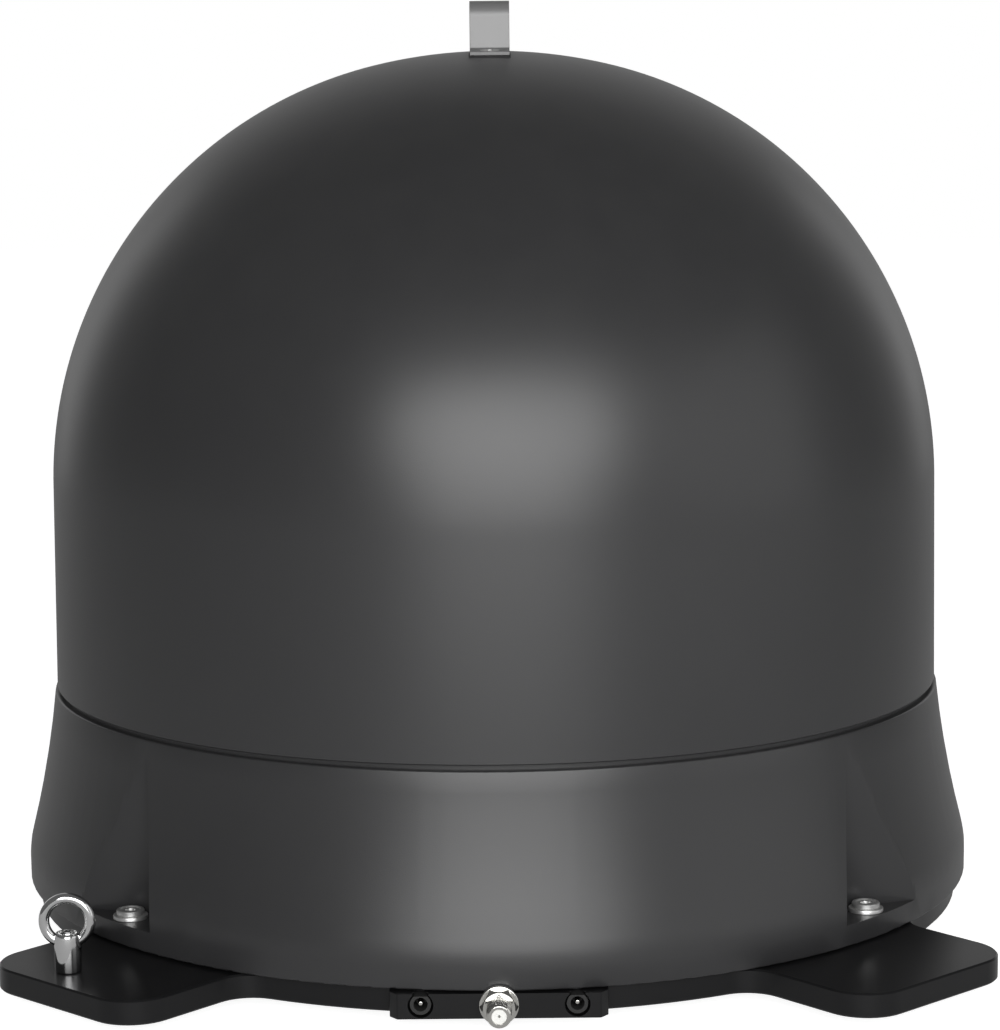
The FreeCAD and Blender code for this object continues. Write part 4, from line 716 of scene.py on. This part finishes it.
class OBJECT_OT_turntable(bpy.types.Operator):
    """The spindle, the bearing, the turntable and all that it carries"""

    bl_idname = "dome.turntable"
    bl_label = "Turntable"

    def execute(self, context):
        smooth = ("azimuth_spindle", "base_screws", "bearing_inner_ring", "rotary_stator", "turntable_plate",
                  "turntable_hub", "bearing_outer_ring", "bearing_balls", "yoke_left", "yoke_right",
                  "turntable_screws", "azimuth_motor", "elevation_motor", "pivot_pins", "rotary_rotor",
                  "tuner_case", "tuner_lid")
        for node in smooth:
            refine(node)
        return {"FINISHED"}


class OBJECT_OT_gears(bpy.types.Operator):
    """The azimuth and elevation gears, pinions and shafts"""

    bl_idname = "dome.gears"
    bl_label = "Gears"

    def execute(self, context):
        for node in ("azimuth_gear", "azimuth_pinion", "azimuth_shaft", "elevation_sector", "elevation_pinion",
                     "elevation_shaft"):
            refine(node)
        return {"FINISHED"}


class OBJECT_OT_dish(bpy.types.Operator):
    """The reflector with its bracket, feed arm, clamp and converter"""

    bl_idname = "dome.dish"
    bl_label = "Dish"

    def execute(self, context):
        refine("reflector", angle=40)
        for node in ("back_bracket", "reflector_screws", "pivot_bushes", "feed_arm", "lnb_clamp", "lnb_body",
                     "lnb_horn"):
            refine(node)
        return {"FINISHED"}


class OBJECT_OT_leads(bpy.types.Operator):
    """The leads inside"""

    bl_idname = "dome.leads"
    bl_label = "Leads"

    def execute(self, context):
        for node in ("coax_lead", "power_leads", "riser_lead", "lnb_lead"):
            refine(node, angle=50)
        return {"FINISHED"}


# ---------------------------------------------------------------- stage
FLOOR_HALF = 6.0
FLOOR_Z = -6.02 * MM
FLOOR_GLOW = 0.12
FLOOR_GLOW_SEEN = 0.9
CAMERA_PLACE = (0, -1.291, 0.3515)
CAMERA_DOWN = 8.16
CAMERA_ROLL = -0.565
LENS = 100.94
SHIFT = 0.0056


def soft_box(name, place, target, size, watts):
    """Rectangular area light that faces a point."""
    light = bpy.data.lights.new(name, "AREA")
    light.shape = "RECTANGLE"
    light.size, light.size_y = size
    light.energy = watts
    lamp = bpy.data.objects.new(name, light)
    lamp.location = place
    aim = Vector(target) - Vector(place)
    lamp.rotation_euler = aim.to_track_quat("-Z", "Y").to_euler()
    bpy.context.scene.collection.objects.link(lamp)


def studio_world(strength):
    """White to look at; what lights the object is dim, and brighter behind it than in front."""
    world = bpy.data.worlds.new("studio")
    bpy.context.scene.world = world
    world.use_nodes = True
    tree = world.node_tree
    back = tree.nodes["Background"]
    place = add(tree, "ShaderNodeTexCoord", -900)
    split = add(tree, "ShaderNodeSeparateXYZ", -700)
    tree.links.new(place.outputs["Generated"], split.inputs[0])
    ramp = add(tree, "ShaderNodeMapRange", -450, interpolation_type="SMOOTHSTEP")
    ramp.inputs["From Min"].default_value = 0.4
    ramp.inputs["From Max"].default_value = 0.9
    ramp.inputs["To Min"].default_value = 0.13 * strength
    ramp.inputs["To Max"].default_value = 0.42 * strength
    tree.links.new(split.outputs["Y"], ramp.inputs["Value"])
    seen = add(tree, "ShaderNodeLightPath", -450, -300)
    white = math_node(tree, "MAXIMUM", ramp.outputs["Result"], seen.outputs["Is Camera Ray"], -200)
    tree.links.new(white, back.inputs["Strength"])
    back.inputs["Color"].default_value = (1, 1, 1, 1)


def pale_floor(colour):
    """Matt floor that is white to look at and only dimly lights the object."""
    pale = bpy.data.materials.new("pale_floor")
    pale.use_nodes = True
    tree = pale.node_tree
    surface = tree.nodes["Principled BSDF"]
    surface.inputs["Base Color"].default_value = (*colour, 1)
    surface.inputs["Roughness"].default_value = 0.9
    surface.inputs["Specular IOR Level"].default_value = 0.1
    surface.inputs["Emission Color"].default_value = (1, 1, 1, 1)
    seen = add(tree, "ShaderNodeLightPath", -600, -300)
    glow = add(tree, "ShaderNodeMapRange", -300, -300)
    glow.inputs["To Min"].default_value = FLOOR_GLOW
    glow.inputs["To Max"].default_value = FLOOR_GLOW_SEEN
    tree.links.new(seen.outputs["Is Camera Ray"], glow.inputs["Value"])
    tree.links.new(glow.outputs["Result"], surface.inputs["Emission Strength"])
    mesh = bpy.data.meshes.new("floor")
    bm = bmesh.new()
    bmesh.ops.create_grid(bm, x_segments=1, y_segments=1, size=FLOOR_HALF)
    bm.to_mesh(mesh)
    bm.free()
    mesh.transform(Matrix.Translation((0, 0, FLOOR_Z)))
    mesh.materials.append(pale)
    floor = bpy.data.objects.new("floor", mesh)
    bpy.context.scene.collection.objects.link(floor)


def studio_camera():
    """Camera in front of the object, a little above its middle."""
    data = bpy.data.cameras.new("camera")
    data.sensor_width = 36.0
    data.lens = LENS
    data.shift_x = SHIFT
    data.clip_start = 0.05
    camera = bpy.data.objects.new("camera", data)
    tilt = Matrix.Rotation(math.radians(90 - CAMERA_DOWN), 4, "X")
    roll = Matrix.Rotation(math.radians(CAMERA_ROLL), 4, "Z")
    camera.matrix_world = Matrix.Translation(CAMERA_PLACE) @ tilt @ roll
    bpy.context.scene.collection.objects.link(camera)
    bpy.context.scene.camera = camera


class OBJECT_OT_stage(bpy.types.Operator):
    """Pale floor, soft studio light and the camera"""

    bl_idname = "dome.stage"
    bl_label = "Stage"

    def execute(self, context):
        scene = context.scene
        settings = scene.dome_stage
        pale_floor(settings.floor)
        soft_box("key", (0.12, -2.2, 1.0), (0, 0, 0.2), (2.2, 0.85), settings.key)
        soft_box("front_fill", (0.12, -2.6, 0.3), (0, 0, 0.15), (1.9, 0.7), settings.fill)
        soft_box("left_rim", (-1.3, 1.5, 0.5), (0, 0, 0.2), (0.5, 1.4), settings.rim)
        soft_box("right_rim", (1.3, 1.5, 0.5), (0, 0, 0.2), (0.5, 1.4), settings.rim)
        soft_box("right_fill", (2.0, -1.0, 0.7), (0, 0, 0.2), (1.8, 1.5), settings.side)
        studio_world(settings.world)
        studio_camera()
        scene.view_settings.view_transform = "Standard"
        return {"FINISHED"}


# ---------------------------------------------------------------- panel and registration
PIECES = (
    OBJECT_OT_dome, OBJECT_OT_skirt, OBJECT_OT_handle, OBJECT_OT_cover_fixings, OBJECT_OT_base, OBJECT_OT_eye,
    OBJECT_OT_coax, OBJECT_OT_power, OBJECT_OT_turntable, OBJECT_OT_gears, OBJECT_OT_dish, OBJECT_OT_leads,
    OBJECT_OT_stage,
)
SETTINGS = {
    "dome_cover": CoverSettings,
    "dome_plate": PlateSettings,
    "dome_fixings": FixingSettings,
    "dome_stage": StageSettings,
}


class VIEW3D_PT_dome(bpy.types.Panel):
    """Lists the pieces and the settings of the satellite dome"""

    bl_label = "Satellite dome"
    bl_idname = "VIEW3D_PT_dome"
    bl_space_type = "VIEW_3D"
    bl_region_type = "UI"
    bl_category = "Dome"

    def draw(self, context):
        for name, kind in SETTINGS.items():
            box = self.layout.box()
            for key in kind.__annotations__:
                box.prop(getattr(context.scene, name), key)
        for piece in PIECES:
            self.layout.operator(piece.bl_idname)


def register():
    for kind in (*SETTINGS.values(), *PIECES, VIEW3D_PT_dome):
        bpy.utils.register_class(kind)
    for name, kind in SETTINGS.items():
        setattr(bpy.types.Scene, name, PointerProperty(type=kind))


def unregister():
    for name in SETTINGS:
        delattr(bpy.types.Scene, name)
    for kind in reversed((*SETTINGS.values(), *PIECES, VIEW3D_PT_dome)):
        bpy.utils.unregister_class(kind)


def main():
    register()
    for piece in PIECES:
        group, name = piece.bl_idname.split(".")
        getattr(getattr(bpy.ops, group), name)()


if __name__ == "__main__":
    main()
